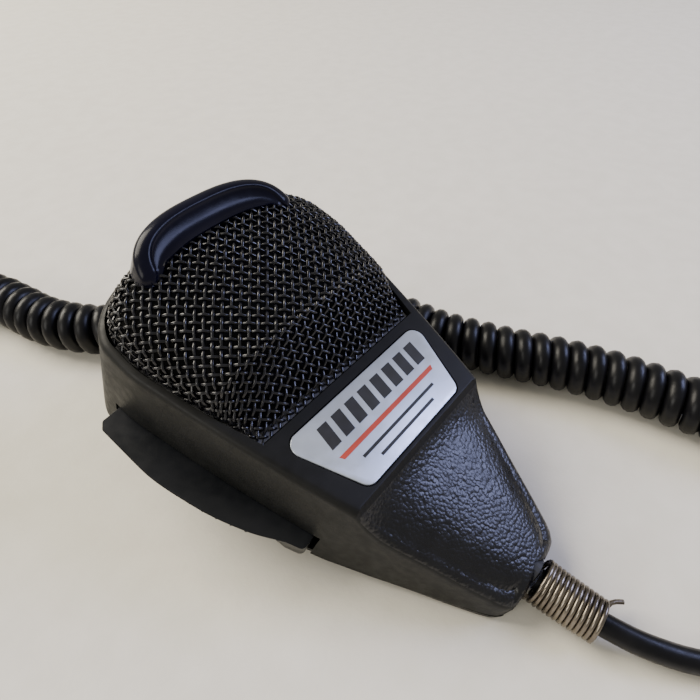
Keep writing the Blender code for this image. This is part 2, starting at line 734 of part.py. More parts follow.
def lever_outline(depth):
    """Outline of the lever at a depth, 0 at its top face and 1 at its bottom."""
    px, py, _ = PIVOT
    share = interpolate(LEVER_COVE, depth)
    edge = [(top + (bottom - top) * share, y) for y, top, bottom in LEVER_EDGE]
    tip_x = edge[-1][0]
    corners = [(px + 2.6, py - 2.6, 2.2), (px + 2.6, py + 2.6, 2.2), (-25.6, -3.0, 1.0), (-27.6, 24.0, 1.0),
               (-27.9, LEVER_HEAD_Y, 0.6), (tip_x + 1.3, LEVER_HEAD_Y - 0.8, 0.7), (tip_x, edge[-1][1], 0.8)]
    corners += [(x, y, 5.0) for x, y in edge[-2:0:-1]]
    corners += [(*edge[0], 2.5), (edge[0][0] + 1.4, py - 4.0, 1.4)]
    return rounded_outline(corners, 1.0, 3)


def grip_rib(y):
    """Thin upright rib across the hollow of the lever's outer face."""
    top_x = interpolate([row[:2] for row in LEVER_EDGE], y)
    bottom_x = interpolate([row[::2] for row in LEVER_EDGE], y)
    run = bottom_x - top_x
    verts = []
    for sink in RIB_ENDS:
        depth = sink / LEVER_DEPTH
        for side_y in (y - RIB_THICK, y):
            verts += [(top_x + 0.1 + run * depth, side_y, LEVER_TOP_Z - sink),
                      (top_x + 1.3 + run * interpolate(LEVER_COVE, depth), side_y, LEVER_TOP_Z - sink)]
    faces = [(0, 1, 3, 2), (4, 6, 7, 5), (0, 2, 6, 4), (1, 5, 7, 3), (0, 4, 5, 1), (2, 3, 7, 6)]
    return verts, faces


def add_lever():
    """Push-to-talk lever with its grip ribs and hinge knuckle, and its pin."""
    px, py, _ = PIVOT
    bottom = LEVER_TOP_Z - LEVER_DEPTH
    outlines = [(LEVER_TOP_Z - LEVER_DEPTH * depth, lever_outline(depth)) for depth, _ in LEVER_COVE[::-1]]
    count = len(outlines[0][1])
    verts = [(x, y, z) for z, outline in outlines for x, y in outline]
    top = count * (len(outlines) - 1)
    faces = [tuple(range(count))[::-1], tuple(range(top, top + count))]
    for low in range(0, top, count):
        for n in range(count):
            m = (n + 1) % count
            faces.append((low + n, low + m, low + count + m, low + count + n))
    lever = add_part("ptt_lever", (verts, faces), BLACK_ABS, PIVOT)
    for n in range(GRIP_RIBS):
        join(lever, grip_rib(RIB_FIRST_Y + RIB_PITCH * n))
    cut(lever, rod((px, py, bottom - 1.0), (px, py, LEVER_TOP_Z + 1.0), PIN_R + 0.06, 16))
    cut(lever, box((px - 2.6, py - 4.0, PIVOT[2] - 1.8), (px + 4.0, py + 4.0, PIVOT[2] + 1.8)))
    add_part("ptt_hinge_pin", rod((px, py, bottom), (px, py, PIN_TOP_Z), PIN_R, 16), STEEL)


def add_torsion_spring():
    """Torsion spring of the lever: turns round the pin between two legs."""
    px, py, pz = PIVOT
    turns = 2
    per_turn = 12
    wire = 0.3
    radius = 1.75
    path = [Vector((px + 5.0, py + radius, pz - 1.0))]
    for n in range(turns * per_turn + 1):
        angle = math.pi / 2.0 - 2.0 * math.pi * n / per_turn
        height = pz - 1.0 + 2.0 * n / (turns * per_turn)
        path.append(Vector((px + radius * math.cos(angle), py + radius * math.sin(angle), height)))
    add_part("ptt_torsion_spring", swept(path, wire, 6), STEEL)


def swept(path, radius, sides):
    """Round wire along a path of points."""
    verts = []
    faces = []
    for n, point in enumerate(path):
        ahead = path[min(n + 1, len(path) - 1)] - path[max(n - 1, 0)]
        side = ahead.cross(Vector((0.0, 0.0, 1.0))).normalized()
        over = side.cross(ahead).normalized()
        for k in range(sides):
            angle = 2.0 * math.pi * k / sides
            reach = side * math.cos(angle) + over * math.sin(angle)
            verts.append(tuple(point + reach * radius))
    for n in range(len(path) - 1):
        for k in range(sides):
            m = (k + 1) % sides
            faces.append((n * sides + k, n * sides + m, (n + 1) * sides + m, (n + 1) * sides + k))
    faces.append(tuple(range(sides))[::-1])
    last = (len(path) - 1) * sides
    faces.append(tuple(range(last, last + sides)))
    return verts, faces


def add_switch():
    """Microswitch on its bracket, its screws, and the plunger that the lever pushes."""
    (x0, y0, z0), (x1, y1, z1) = SWITCH_LOW, SWITCH_HIGH
    mid_z = (z0 + z1) / 2.0
    body = add_part("switch_body", box(SWITCH_LOW, SWITCH_HIGH), BLACK_ABS)
    well = rod((x0 - 1.0, LEVER_STROKE_Y, mid_z), (x0 + 4.6, LEVER_STROKE_Y, mid_z), PLUNGER_R + GAP, 12)
    cut(body, well)
    fixing_x = x0 + 3.2
    fixing_ys = (y0 + 2.2, y1 - 2.2)
    for y in fixing_ys:
        cut(body, rod((fixing_x, y, z0 - 1.0), (fixing_x, y, z1 + 1.0), 1.2, 12))
    tip = (x0 - 5.3, LEVER_STROKE_Y, mid_z)
    profile = [(PLUNGER_R / 2.0, 0.0), (PLUNGER_R, 0.4), (PLUNGER_R, 6.9)]
    add_part("switch_plunger", turned(profile, tip, (1, 0, 0), 12), GLOSS_ABS, tip)
    top = z1 + GAP
    thick = 1.2
    far = (x1 + 4.0, y1 + 1.5, top + thick)
    bracket = add_part("switch_bracket", box((x0 - 0.6, y0 - 4.0, top), far), STEEL)
    join(bracket, box((far[0] - thick, y0 - 4.0, z0 - 0.8), far))
    for number, y in enumerate(fixing_ys, 1):
        cut(bracket, rod((fixing_x, y, top - 1.0), (fixing_x, y, top + 3.0), 1.2, 12))
        seat = (fixing_x, y, top + thick + GAP)
        add_part(f"switch_screw_{number}", screw(seat, (0, 0, 1), 2.0, 1.2, 0.9, 8.2), STEEL)


# ---------------------------------------------------------------- wiring inside

def add_wiring():
    """Terminal board, its screws, the inner wires, the cord clamp and the inner end of the cord."""
    (x0, y0, z0), (x1, y1, z1) = BOARD_LOW, BOARD_HIGH
    board = add_part("terminal_board", box(BOARD_LOW, BOARD_HIGH), BOARD_BROWN)
    for number, (x, y) in enumerate(((x0 + 2.5, y0 + 2.5), (x1 - 2.5, y1 - 2.5)), 1):
        cut(board, rod((x, y, z0 - 1.0), (x, y, z1 + 1.0), 1.2, 12))
        add_part(f"board_screw_{number}", screw((x, y, z1 + GAP), (0, 0, 1), 2.1, 1.2, 0.9, 3.6), STEEL)
    ends = (("inner_wire_red", WIRE_RED, -1.6, (2.0, -16.0), (0.0, -10.6)),
            ("inner_wire_white", WIRE_WHITE, 0.0, (4.2, -17.0), (4.0, -10.6)),
            ("inner_wire_blue", WIRE_BLUE, 1.6, (7.4, -16.0), (8.4, -10.6)))
    for name, finish, start_x, bend, end in ends:
        route = ((start_x, -33.4, CORD_Z), (start_x, -28.0, CORD_Z - 1.0),
                 (*bend, -16.5), (*end, -19.0), (end[0], end[1] + 1.4, z1 + GAP))
        add_cord(name, route, INNER_WIRE_R, 2.0, 1, finish, tilted=True)
    bushing = sleeve((0.0, -45.8, CORD_Z), (0, -1, 0), CORD_R + GAP, GLAND_R, 6.0)
    add_part("gland_bushing", bushing, BLACK_RUBBER)
    y = CLAMP_Y
    clamp = add_part("cord_clamp", box((-4.2, y - 2.0, CORD_Z - 3.8), (4.2, y + 2.0, CORD_Z - 0.2)), STEEL)
    cut(clamp, rod((0.0, y - 5.0, CORD_Z), (0.0, y + 5.0, CORD_Z), CORD_R + GAP, 18))
    inner_end = rod((0.0, -34.0, CORD_Z), (0.0, -52.4, CORD_Z), CORD_R, 16)
    add_part("cord_inner_end", inner_end, CORD_BLACK)


# ---------------------------------------------------------------- strain relief, cord, plug

def bent_sleeve(path, inner, outer_start, outer_end, sides=22):
    """Tube with a bore along a bent path; its outer radius changes from start to end."""
    verts = []
    faces = []
    count = len(path)
    for n, point in enumerate(path):
        ahead = path[min(n + 1, count - 1)] - path[max(n - 1, 0)]
        turn = frame_on(ahead)
        outer = outer_start + (outer_end - outer_start) * n / (count - 1)
        for radius in (inner, outer):
            for k in range(sides):
                angle = 2.0 * math.pi * k / sides
                place = turn @ Vector((radius * math.cos(angle), radius * math.sin(angle), 0.0))
                verts.append(tuple(point + place))
    for n in range(count - 1):
        low = n * 2 * sides
        high = low + 2 * sides
        for k in range(sides):
            m = (k + 1) % sides
            faces.append((low + k, high + k, high + m, low + m))
            faces.append((low + sides + k, low + sides + m, high + sides + m, high + sides + k))
    for low, flip in ((0, False), ((count - 1) * 2 * sides, True)):
        for k in range(sides):
            m = (k + 1) % sides
            quad = (low + k, low + m, low + sides + m, low + sides + k)
            faces.append(quad[::-1] if flip else quad)
    return verts, faces


def add_relief():
    """Strain relief: a slightly tapered sleeve round the cord, and the cord inside it."""
    path = smooth_points(RELIEF_PATH, 3.6)
    relief = bent_sleeve(path, CORD_R + GAP, RELIEF_R, RELIEF_END_R)
    add_part("strain_relief_spring", relief, NICKEL)
    add_part("cord_relief_core", swept(path, CORD_R, 12), CORD_BLACK)


def add_free_cord():
    """Cord outside the hand unit: the lead, the curly cord and the tail to the plug."""
    add_cord("cord_lead", LEAD_ROUTE, CORD_R, 7.0, 2, CORD_BLACK)
    add_cord("curly_cord", COIL_ROUTE, COIL_R, 8.0, 3, CORD_BLACK)
    add_cord("cord_tail", TAIL_ROUTE, CORD_R, 7.0, 2, CORD_BLACK)


def add_plug():
    """Four-pin plug: shell, insert, contacts, coupling nut, saddle and its screws."""
    base = Vector(PLUG_START)
    axis = Vector(PLUG_AXIS)
    bore = CORD_R + 0.65
    shell = [(bore, 0.0), (4.6, 0.0), (6.4, 2.0), (SHELL_R, 6.0), (SHELL_R, 25.0), (7.0, 26.0),
             (7.0, 38.0), (6.6, 38.0), (6.6, 12.0), (bore, 7.0)]
    add_part("plug_shell", turned(shell, base, axis, 28, closed=True), NICKEL, tilted=False)
    nut = [(7.4, 0.0), (9.0, 0.0), (NUT_R, 0.8), (NUT_R, NUT_LENGTH - 0.8), (9.1, NUT_LENGTH),
           (8.0, NUT_LENGTH), (8.0, 2.0), (7.4, 1.6)]
    nut_base = base + axis * 26.6
    collar = turned(nut, nut_base, axis, 28, closed=True)
    add_part("coupling_nut", collar, NICKEL, tuple(nut_base), tilted=False)
    insert = turned([(INSERT_R, 0.0), (INSERT_R, 8.0)], base + axis * 28.6, axis, 24)
    part = add_part("plug_insert", insert, CARTRIDGE_GREY, tilted=False)
    for number, angle in enumerate((45.0, 135.0, 225.0, 315.0), 1):
        around = math.radians(angle)
        offset = Vector((math.cos(around), 0.0, math.sin(around))) * CONTACT_RING_R
        start = base + axis * 24.0 + offset
        cut(part, rod(start, start + axis * 20.0, 1.5, 12), tilted=False)
        add_part(f"plug_contact_{number}", sleeve(start, axis, 0.7, 1.2, 12.2, 12), BRASS, tilted=False)
    low = (base.x - 6.4, base.y + GAP, base.z - 3.8)
    high = (base.x + 6.4, base.y + GAP + 3.6, base.z + 3.8)
    saddle = add_part("cord_saddle", box(low, high), STEEL, tilted=False)
    cut(saddle, rod(base, base + Vector((0.0, 9.0, 0.0)), CORD_R + GAP, 18), tilted=False)
    for number, side in enumerate((-1.0, 1.0), 1):
        seat = Vector((base.x + side * 4.5, base.y + GAP + 1.8, high[2] + GAP))
        hole = rod(seat - Vector((0.0, 0.0, 6.0)), seat + Vector((0.0, 0.0, 1.0)), 1.1, 12)
        cut(saddle, hole, tilted=False)
        fixing = screw(seat, (0, 0, 1), 1.5, 1.0, 0.8, 5.0)
        add_part(f"saddle_screw_{number}", fixing, STEEL, tilted=False)


def main():
    """Build the whole microphone."""
    for item in list(bpy.data.objects):
        bpy.data.objects.remove(item)
    frame = bpy.data.objects.new("hand_unit_frame", None)
    bpy.context.collection.objects.link(frame)
    frame.location = (SHIFT_X * MM, SHIFT_Y * MM, FRAME_HEIGHT * MM)
    frame.rotation_euler = (math.radians(TILT_DEG), 0.0, 0.0)
    add_front_shell()
    add_back_cover()
    add_hang_button()
    add_head()
    add_nameplate()
    add_lever()
    add_torsion_spring()
    add_switch()
    add_wiring()
    add_relief()
    add_free_cord()
    add_plug()


main()
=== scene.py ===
"""Hand microphone: the looks of a palm microphone, its curly cord and its plug.

Pieces are shaped in millimetres. Those of the hand unit are shaped in its own frame, X to the right, Y
towards the head and Z out of the front, with z = 0 on the flat bezel, and are then set where the frame's
push-to-talk joint says that the hand unit lies. The cord and the plug are shaped where they lie.
"""

import json
import logging
import math
from dataclasses import dataclass, field
from enum import Enum
from typing import Callable, Iterator, Sequence

import bpy
import numpy as np
from mathutils import Matrix, Vector


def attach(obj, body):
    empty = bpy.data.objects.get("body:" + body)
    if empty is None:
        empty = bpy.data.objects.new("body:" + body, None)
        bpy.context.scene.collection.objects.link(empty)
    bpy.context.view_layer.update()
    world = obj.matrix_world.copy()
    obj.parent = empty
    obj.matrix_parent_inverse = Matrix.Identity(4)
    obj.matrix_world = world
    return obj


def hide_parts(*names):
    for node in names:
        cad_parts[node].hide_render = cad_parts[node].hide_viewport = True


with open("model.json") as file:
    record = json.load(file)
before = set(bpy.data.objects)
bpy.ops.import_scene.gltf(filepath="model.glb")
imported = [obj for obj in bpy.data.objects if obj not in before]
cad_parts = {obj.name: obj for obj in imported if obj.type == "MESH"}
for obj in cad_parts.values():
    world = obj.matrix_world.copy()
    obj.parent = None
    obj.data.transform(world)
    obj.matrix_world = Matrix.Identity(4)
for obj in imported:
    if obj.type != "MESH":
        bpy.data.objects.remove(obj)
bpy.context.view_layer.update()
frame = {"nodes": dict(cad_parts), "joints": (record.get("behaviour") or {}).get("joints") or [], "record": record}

LOG = logging.getLogger("hand_microphone")
MM = 0.001
# The clearance round a fitted piece.
GAP = 0.3
# The lever's pin in the hand unit's frame.
PIVOT = (-21.2, -10.8, -22.4)
# Feature size in millimetres and detail of the noises that vary a finish's shade and its roughness, and
# the noise values between which they change.
SHADE_NOISE = (9.0, 3.0)
ROUGH_NOISE = (2.2, 5.0)
NOISE_SPAN = (0.35, 0.65)
# A noise's detail for the textures that need another than 2.
TEXTURE_DETAIL = {"spark": 3.0, "plated": 5.0, "brushed": 4.0}

Point = tuple[float, float, float]
Plan = tuple[float, float]


# ---------------------------------------------------------------- finishes

class Texture(Enum):
    """How the surface of a finish is broken up."""

    SATIN = "satin"
    SPARK = "spark"
    LEATHER = "leather"
    BRUSHED = "brushed"
    PLATED = "plated"
    CELLS = "cells"
    JACKET = "jacket"


def fill(tree: bpy.types.NodeTree, node: bpy.types.Node, inputs: dict[str | int, object]) -> None:
    """Set or link the inputs of a shader node.

    Args:
        tree: The node tree.
        node: The node.
        inputs: For each input, by name or number, its value or the output that feeds it.
    """
    for key, value in inputs.items():
        if isinstance(value, bpy.types.NodeSocket):
            tree.links.new(value, node.inputs[key])
        else:
            node.inputs[key].default_value = value


def add_node(tree: bpy.types.NodeTree, kind: str, inputs: dict[str | int, object],
             **settings: str) -> bpy.types.Node:
    """Add a shader node.

    Args:
        tree: The node tree.
        kind: The node's type, without its prefix.
        inputs: The node's inputs, as fill takes them.
        settings: The node's own settings.

    Returns:
        The node.
    """
    node = tree.nodes.new("ShaderNode" + kind)
    for key, value in settings.items():
        setattr(node, key, value)
    fill(tree, node, inputs)
    return node


@dataclass(frozen=True)
class Finish:
    """One material: two shades of a colour, a range of roughness and a surface texture.

    grain is the size of the texture's features and relief its height, both in millimetres.
    """

    name: str
    low: Point
    high: Point
    rough: tuple[float, float]
    texture: Texture = Texture.SATIN
    grain: float = 0.4
    relief: float = 0.02
    metallic: float = 0.0
    coat: float = 0.0
    specular: float = 0.5

    def build(self) -> bpy.types.Material:
        """Make the material, or hand back the one already made.

        Returns:
            The material, with its node tree.
        """
        known = bpy.data.materials.get(self.name)
        if known is not None:
            return known
        material = bpy.data.materials.new(self.name)
        material.use_nodes = True
        tree = material.node_tree
        place = add_node(tree, "TexCoord", {}).outputs["Object"]
        ramp = add_node(tree, "ValToRGB", {"Fac": self.noise(tree, place, *SHADE_NOISE)})
        for stop, level, shade in zip(ramp.color_ramp.elements, NOISE_SPAN, (self.low, self.high)):
            stop.position = level
            stop.color = (*shade, 1.0)
        spread = add_node(tree, "MapRange", {
            "Value": self.noise(tree, place, *ROUGH_NOISE), "From Min": NOISE_SPAN[0],
            "From Max": NOISE_SPAN[1], "To Min": self.rough[0], "To Max": self.rough[1]})
        bump = add_node(tree, "Bump", {
            "Height": self.height(tree, place), "Strength": 1.0, "Distance": self.relief * MM})
        fill(tree, tree.nodes["Principled BSDF"], {
            "Base Color": ramp.outputs["Color"], "Roughness": spread.outputs["Result"],
            "Normal": bump.outputs["Normal"], "Metallic": self.metallic,
            "Specular IOR Level": self.specular, "Coat Weight": self.coat, "Coat Roughness": 0.12})
        return material

    def noise(self, tree: bpy.types.NodeTree, place: bpy.types.NodeSocket, size: float,
              detail: float) -> bpy.types.NodeSocket:
        """Add a noise.

        Args:
            tree: The node tree.
            place: The coordinates it reads.
            size: The size of its features in millimetres.
            detail: Its levels of detail.

        Returns:
            The noise's value.
        """
        node = add_node(tree, "TexNoise", {"Vector": place, "Scale": 1.0 / (size * MM), "Detail": detail})
        return node.outputs["Fac"]

    def height(self, tree: bpy.types.NodeTree, place: bpy.types.NodeSocket) -> bpy.types.NodeSocket:
        """Add the nodes of the surface texture.

        Args:
            tree: The node tree.
            place: The coordinates that the texture reads.

        Returns:
            The height, from 0 to 1.
        """
        if self.texture in (Texture.LEATHER, Texture.CELLS):
            size = self.grain * MM
            swirl = add_node(tree, "TexNoise", {"Vector": place, "Scale": 0.5 / size})
            warp = add_node(tree, "VectorMath", {0: swirl.outputs["Color"], 1: (size,) * 3, 2: place},
                            operation="MULTIPLY_ADD")
            cells = add_node(tree, "TexVoronoi", {
                "Vector": warp.outputs["Vector"], "Scale": 1.0 / size, "Smoothness": 0.35},
                feature="SMOOTH_F1")
            curve = add_node(tree, "Math", {0: cells.outputs["Distance"], 1: 1.6}, operation="POWER")
            invert = add_node(tree, "Math", {0: 1.0, 1: curve.outputs["Value"]}, operation="SUBTRACT")
            return invert.outputs["Value"]
        if self.texture is Texture.BRUSHED:
            stretch = add_node(tree, "Mapping", {"Vector": place, "Scale": (0.04, 1.0, 1.0)})
            place = stretch.outputs["Vector"]
        return self.noise(tree, place, self.grain, TEXTURE_DETAIL.get(self.texture.value, 2.0))


class Finishes:
    """Every finish on the microphone."""

    BEZEL = Finish("bezel_satin", (0.006, 0.006, 0.0055), (0.009, 0.009, 0.0085), (0.40, 0.50),
                   Texture.SPARK, 0.16, 0.005, specular=0.20)
    PAD = Finish("pad_leather_grain", (0.004, 0.004, 0.005), (0.007, 0.007, 0.008), (0.26, 0.34),
                 Texture.LEATHER, 0.72, 0.10, specular=0.40)
    WALL = Finish("wall_fine_grain", (0.0065, 0.007, 0.007), (0.011, 0.0115, 0.0115), (0.44, 0.56),
                  Texture.SPARK, 0.34, 0.05, specular=0.18)
    COVER = Finish("cover_grain", (0.007, 0.007, 0.007), (0.011, 0.011, 0.010), (0.42, 0.55),
                   Texture.SPARK, 0.3, 0.03, specular=0.25)
    LEVER = Finish("lever_plastic", (0.007, 0.008, 0.010), (0.011, 0.012, 0.015), (0.30, 0.40),
                   Texture.SPARK, 0.2, 0.01, specular=0.36)
    # Gloss black guard; the blue in both shades is painted, a blue sheen that stands in for the window lamp's
    # reflection.
    GUARD = Finish("guard_gloss_painted_blue_sheen", (0.003, 0.003, 0.009), (0.005, 0.005, 0.013), (0.18, 0.25),
                   Texture.SATIN, 1.6, 0.004, specular=0.14)
    WIRE = Finish("grille_black_wire", (0.004, 0.004, 0.006), (0.008, 0.008, 0.011), (0.20, 0.30),
                  Texture.SPARK, 0.12, 0.004, coat=0.1, specular=0.45)
    FOAM = Finish("windscreen_foam_black", (0.003, 0.003, 0.003), (0.006, 0.006, 0.006), (0.9, 1.0),
                  Texture.CELLS, 0.6, 0.3, specular=0.1)
    PLATE = Finish("plate_satin_silver", (0.50, 0.55, 0.63), (0.60, 0.65, 0.73), (0.30, 0.40),
                   Texture.BRUSHED, 0.12, 0.003, metallic=0.55, coat=0.5)
    INK_BLACK = Finish("ink_black", (0.010, 0.010, 0.012), (0.016, 0.016, 0.018), (0.30, 0.40),
                       Texture.SATIN, 0.3, 0.003, coat=0.4)
    INK_RED = Finish("ink_red", (0.42, 0.045, 0.022), (0.52, 0.06, 0.03), (0.30, 0.40),
                     Texture.SATIN, 0.3, 0.003, coat=0.4)
    INNER = Finish("inner_moulding", (0.06, 0.06, 0.065), (0.09, 0.09, 0.095), (0.45, 0.6),
                   Texture.SPARK, 0.25, 0.02)
    RUBBER = Finish("rubber_black", (0.014, 0.014, 0.014), (0.022, 0.022, 0.022), (0.6, 0.75),
                    Texture.SPARK, 0.3, 0.02)
    NICKEL = Finish("nickel_plate", (0.44, 0.40, 0.35), (0.58, 0.54, 0.48), (0.20, 0.32),
                    Texture.PLATED, 0.5, 0.006, metallic=1.0)
    SPRING = Finish("spring_wire_nickel", (0.13, 0.11, 0.09), (0.24, 0.21, 0.17), (0.22, 0.34),
                    Texture.PLATED, 0.3, 0.006, metallic=1.0)
    STEEL = Finish("zinc_steel", (0.48, 0.48, 0.50), (0.60, 0.60, 0.62), (0.28, 0.40),
                   Texture.BRUSHED, 0.15, 0.005, metallic=1.0)
    BOARD = Finish("board_phenolic", (0.22, 0.12, 0.05), (0.32, 0.18, 0.08), (0.5, 0.65),
                   Texture.SPARK, 0.5, 0.02)
    RED_WIRE = Finish("wire_jacket_red", (0.40, 0.02, 0.015), (0.5, 0.04, 0.03), (0.4, 0.5))
    WHITE_WIRE = Finish("wire_jacket_white", (0.62, 0.62, 0.60), (0.72, 0.72, 0.70), (0.4, 0.5))
    BLUE_WIRE = Finish("wire_jacket_blue", (0.02, 0.06, 0.34), (0.03, 0.09, 0.45), (0.4, 0.5))
    CORD = Finish("cord_jacket_black", (0.003, 0.003, 0.004), (0.005, 0.005, 0.006), (0.30, 0.42),
                  Texture.JACKET, 0.6, 0.015, specular=0.22)
    BRASS = Finish("contact_brass", (0.62, 0.44, 0.17), (0.72, 0.54, 0.24), (0.2, 0.35),
                   Texture.PLATED, 0.3, 0.004, metallic=1.0)


SLOT_FINISHES = {
    "housing": Finishes.BEZEL, "lever": Finishes.LEVER, "gloss_black": Finishes.GUARD,
    "grille_wire": Finishes.WIRE, "inner_plastic": Finishes.INNER, "plate": Finishes.PLATE,
    "foam": Finishes.FOAM, "rubber": Finishes.RUBBER, "nickel": Finishes.NICKEL,
    "steel": Finishes.STEEL, "board": Finishes.BOARD, "wire_red": Finishes.RED_WIRE,
    "wire_white": Finishes.WHITE_WIRE, "wire_blue": Finishes.BLUE_WIRE,
    "cord_jacket": Finishes.CORD, "contact_brass": Finishes.BRASS}


# ---------------------------------------------------------------- bench work

class Bench:
    """Modelling steps that every sub-assembly uses, all in millimetres."""

    @staticmethod
    def clear() -> None:
        """Deselect everything, in object mode."""
        if bpy.context.object is not None and bpy.context.object.mode != "OBJECT":
            bpy.ops.object.mode_set(mode="OBJECT")
        for item in bpy.context.selected_objects:
            item.select_set(False)

    @staticmethod
    def pick(piece: bpy.types.Object) -> None:
        """Make a piece the only selected and active one.

        Args:
            piece: The piece.
        """
        Bench.clear()
        piece.select_set(True)
        bpy.context.view_layer.objects.active = piece

    @staticmethod
    def edit(piece: bpy.types.Object) -> None:
        """Open a piece in edit mode with all of it selected.

        Args:
            piece: The piece.
        """
        Bench.pick(piece)
        bpy.ops.object.mode_set(mode="EDIT")
        bpy.ops.mesh.select_all(action="SELECT")

    @staticmethod
    def tidy(piece: bpy.types.Object) -> None:
        """Merge doubled points, drop loose edges and point the faces outwards.

        Args:
            piece: The piece.
        """
        Bench.edit(piece)
        bpy.ops.mesh.remove_doubles(threshold=0.002)
        bpy.ops.mesh.delete_loose()
        bpy.ops.mesh.select_all(action="SELECT")
        bpy.ops.mesh.normals_make_consistent(inside=False)
        bpy.ops.object.mode_set(mode="OBJECT")

    @staticmethod
    def named(name: str) -> bpy.types.Object:
        """Name the piece that was just made.

        Args:
            name: The piece's name.

        Returns:
            The piece.
        """
        piece = bpy.context.object
        piece.name = name
        return piece

    @staticmethod
    def extrude(piece: bpy.types.Object, layers: int) -> None:
        """Extrude a flat piece upwards in steps of one.

        Args:
            piece: The piece.
            layers: How many times it is extruded.
        """
        Bench.edit(piece)
        for _ in range(layers):
            bpy.ops.mesh.extrude_region_move(TRANSFORM_OT_translate={"value": (0.0, 0.0, 1.0)})
        bpy.ops.object.mode_set(mode="OBJECT")

    @staticmethod
    def stack(name: str, columns: int, rows: int, layers: int,
              place: Callable[[float, float, int], Point]) -> bpy.types.Object:
        """Extrude a flat grid upwards layer by layer, then set every point in its place.

        Args:
            name: The piece's name.
            columns: Faces across the grid.
            rows: Faces along the grid.
            layers: How many layers of points there are, two or more.
            place: Gives a point from its place across and along (-1 to 1) and its layer.

        Returns:
            The closed piece.
        """
        Bench.clear()
        bpy.ops.mesh.primitive_grid_add(x_subdivisions=columns, y_subdivisions=rows, size=2.0)
        piece = Bench.named(name)
        Bench.extrude(piece, layers - 1)
        for vertex in piece.data.vertices:
            u, v, w = vertex.co
            vertex.co = place(u, v, round(w))
        Bench.tidy(piece)
        return piece

    @staticmethod
    def prism(name: str, outline: Sequence[Plan], low: float, high: float) -> bpy.types.Object:
        """Raise a prism from an outline.

        Args:
            name: The piece's name.
            outline: The outline's points.
            low: The height of the bottom.
            high: The height of the top.

        Returns:
            The closed piece.
        """
        return Bench.loft(name, (outline, outline), (low, high))

    @staticmethod
    def loft(name: str, outlines: Sequence[Sequence[Plan]], heights: Sequence[float]) -> bpy.types.Object:
        """Raise a piece through outlines that have equal numbers of points.

        Args:
            name: The piece's name.
            outlines: The outline at each level, from the bottom up.
            heights: The height of each level.

        Returns:
            The closed piece.
        """
        Bench.clear()
        bpy.ops.mesh.primitive_circle_add(vertices=len(outlines[0]), fill_type="NGON")
        piece = Bench.named(name)
        for n, vertex in enumerate(piece.data.vertices):
            vertex.co = (float(n), 0.0, 0.0)
        Bench.extrude(piece, len(heights) - 1)
        for vertex in piece.data.vertices:
            level = round(vertex.co.z)
            vertex.co = (*outlines[level][round(vertex.co.x)], heights[level])
        Bench.tidy(piece)
        return piece

    @staticmethod
    def spun(name: str, profile: Sequence[Plan], steps: int = 64) -> bpy.types.Object:
        """Spin a closed profile of (radius, height) points round the Z axis.

        Args:
            name: The piece's name.
            profile: The closed profile's points.
            steps: How many steps make the full turn.

        Returns:
            The closed piece.
        """
        Bench.clear()
        bpy.ops.mesh.primitive_circle_add(vertices=len(profile), fill_type="NOTHING")
        piece = Bench.named(name)
        for vertex, (radius, height) in zip(piece.data.vertices, profile):
            vertex.co = (radius, 0.0, height)
        Bench.edit(piece)
        bpy.ops.mesh.spin(steps=steps, angle=2.0 * math.pi, center=(0.0, 0.0, 0.0), axis=(0.0, 0.0, 1.0))
        bpy.ops.object.mode_set(mode="OBJECT")
        Bench.tidy(piece)
        return piece

    @staticmethod
    def rod(name: str, radius: float, low: float, high: float, steps: int = 32) -> bpy.types.Object:
        """Make a round rod on the Z axis.

        Args:
            name: The piece's name.
            radius: Its radius.
            low: The height of its lower end.
            high: The height of its upper end.
            steps: How many sides it has.

        Returns:
            The closed piece.
        """
        return Bench.spun(name, ((0.0, low), (radius, low), (radius, high), (0.0, high)), steps)

    @staticmethod
    def block(place: Matrix) -> bpy.types.Object:
        """Make a block from a cube with sides of one.

        Args:
            place: What the cube is moved, turned and stretched by.

        Returns:
            The closed piece.
        """
        bpy.ops.mesh.primitive_cube_add(size=1.0)
        bpy.context.object.data.transform(place)
        return bpy.context.object

    @staticmethod
    def wires(name: str, lines: Sequence[Sequence[Vector]], radius: float, roundness: int,
              as_mesh: bool = True) -> bpy.types.Object:
        """Draw round wires along lines of points.

        Args:
            name: The piece's name.
            lines: The points of each wire.
            radius: The wire's radius.
            roundness: Half the sides beyond four, as a curve's bevel counts them.
            as_mesh: Whether the wires become one mesh or stay a curve.

        Returns:
            The piece.
        """
        curve = bpy.data.curves.new(name, "CURVE")
        curve.dimensions = "3D"
        curve.bevel_depth = radius
        curve.bevel_resolution = roundness
        curve.use_fill_caps = True
        for line in lines:
            spline = curve.splines.new("POLY")
            spline.points.add(len(line) - 1)
            for point, spot in zip(spline.points, line):
                point.co = (*spot, 1.0)
        piece = bpy.data.objects.new(name, curve)
        bpy.context.scene.collection.objects.link(piece)
        if as_mesh:
            Bench.pick(piece)
            bpy.ops.object.convert(target="MESH")
            piece = bpy.context.object
        return piece

    @staticmethod
    def modify(piece: bpy.types.Object, kind: str, **settings: object) -> None:
        """Apply a modifier to a piece.

        Args:
            piece: The piece.
            kind: The modifier's type.
            settings: The modifier's settings.
        """
        Bench.pick(piece)
        bpy.ops.object.modifier_add(type=kind)
        modifier = piece.modifiers[-1]
        for key, value in settings.items():
            setattr(modifier, key, value)
        bpy.ops.object.modifier_apply(modifier=modifier.name)

    @staticmethod
    def combine(piece: bpy.types.Object, tool: bpy.types.Object, operation: str = "DIFFERENCE") -> None:
        """Cut a tool from a piece, or join it on, and remove the tool.

        Args:
            piece: The piece.
            tool: The tool.
            operation: What the boolean does.
        """
        Bench.modify(piece, "BOOLEAN", operation=operation, solver="EXACT", object=tool)
        bpy.data.objects.remove(tool)

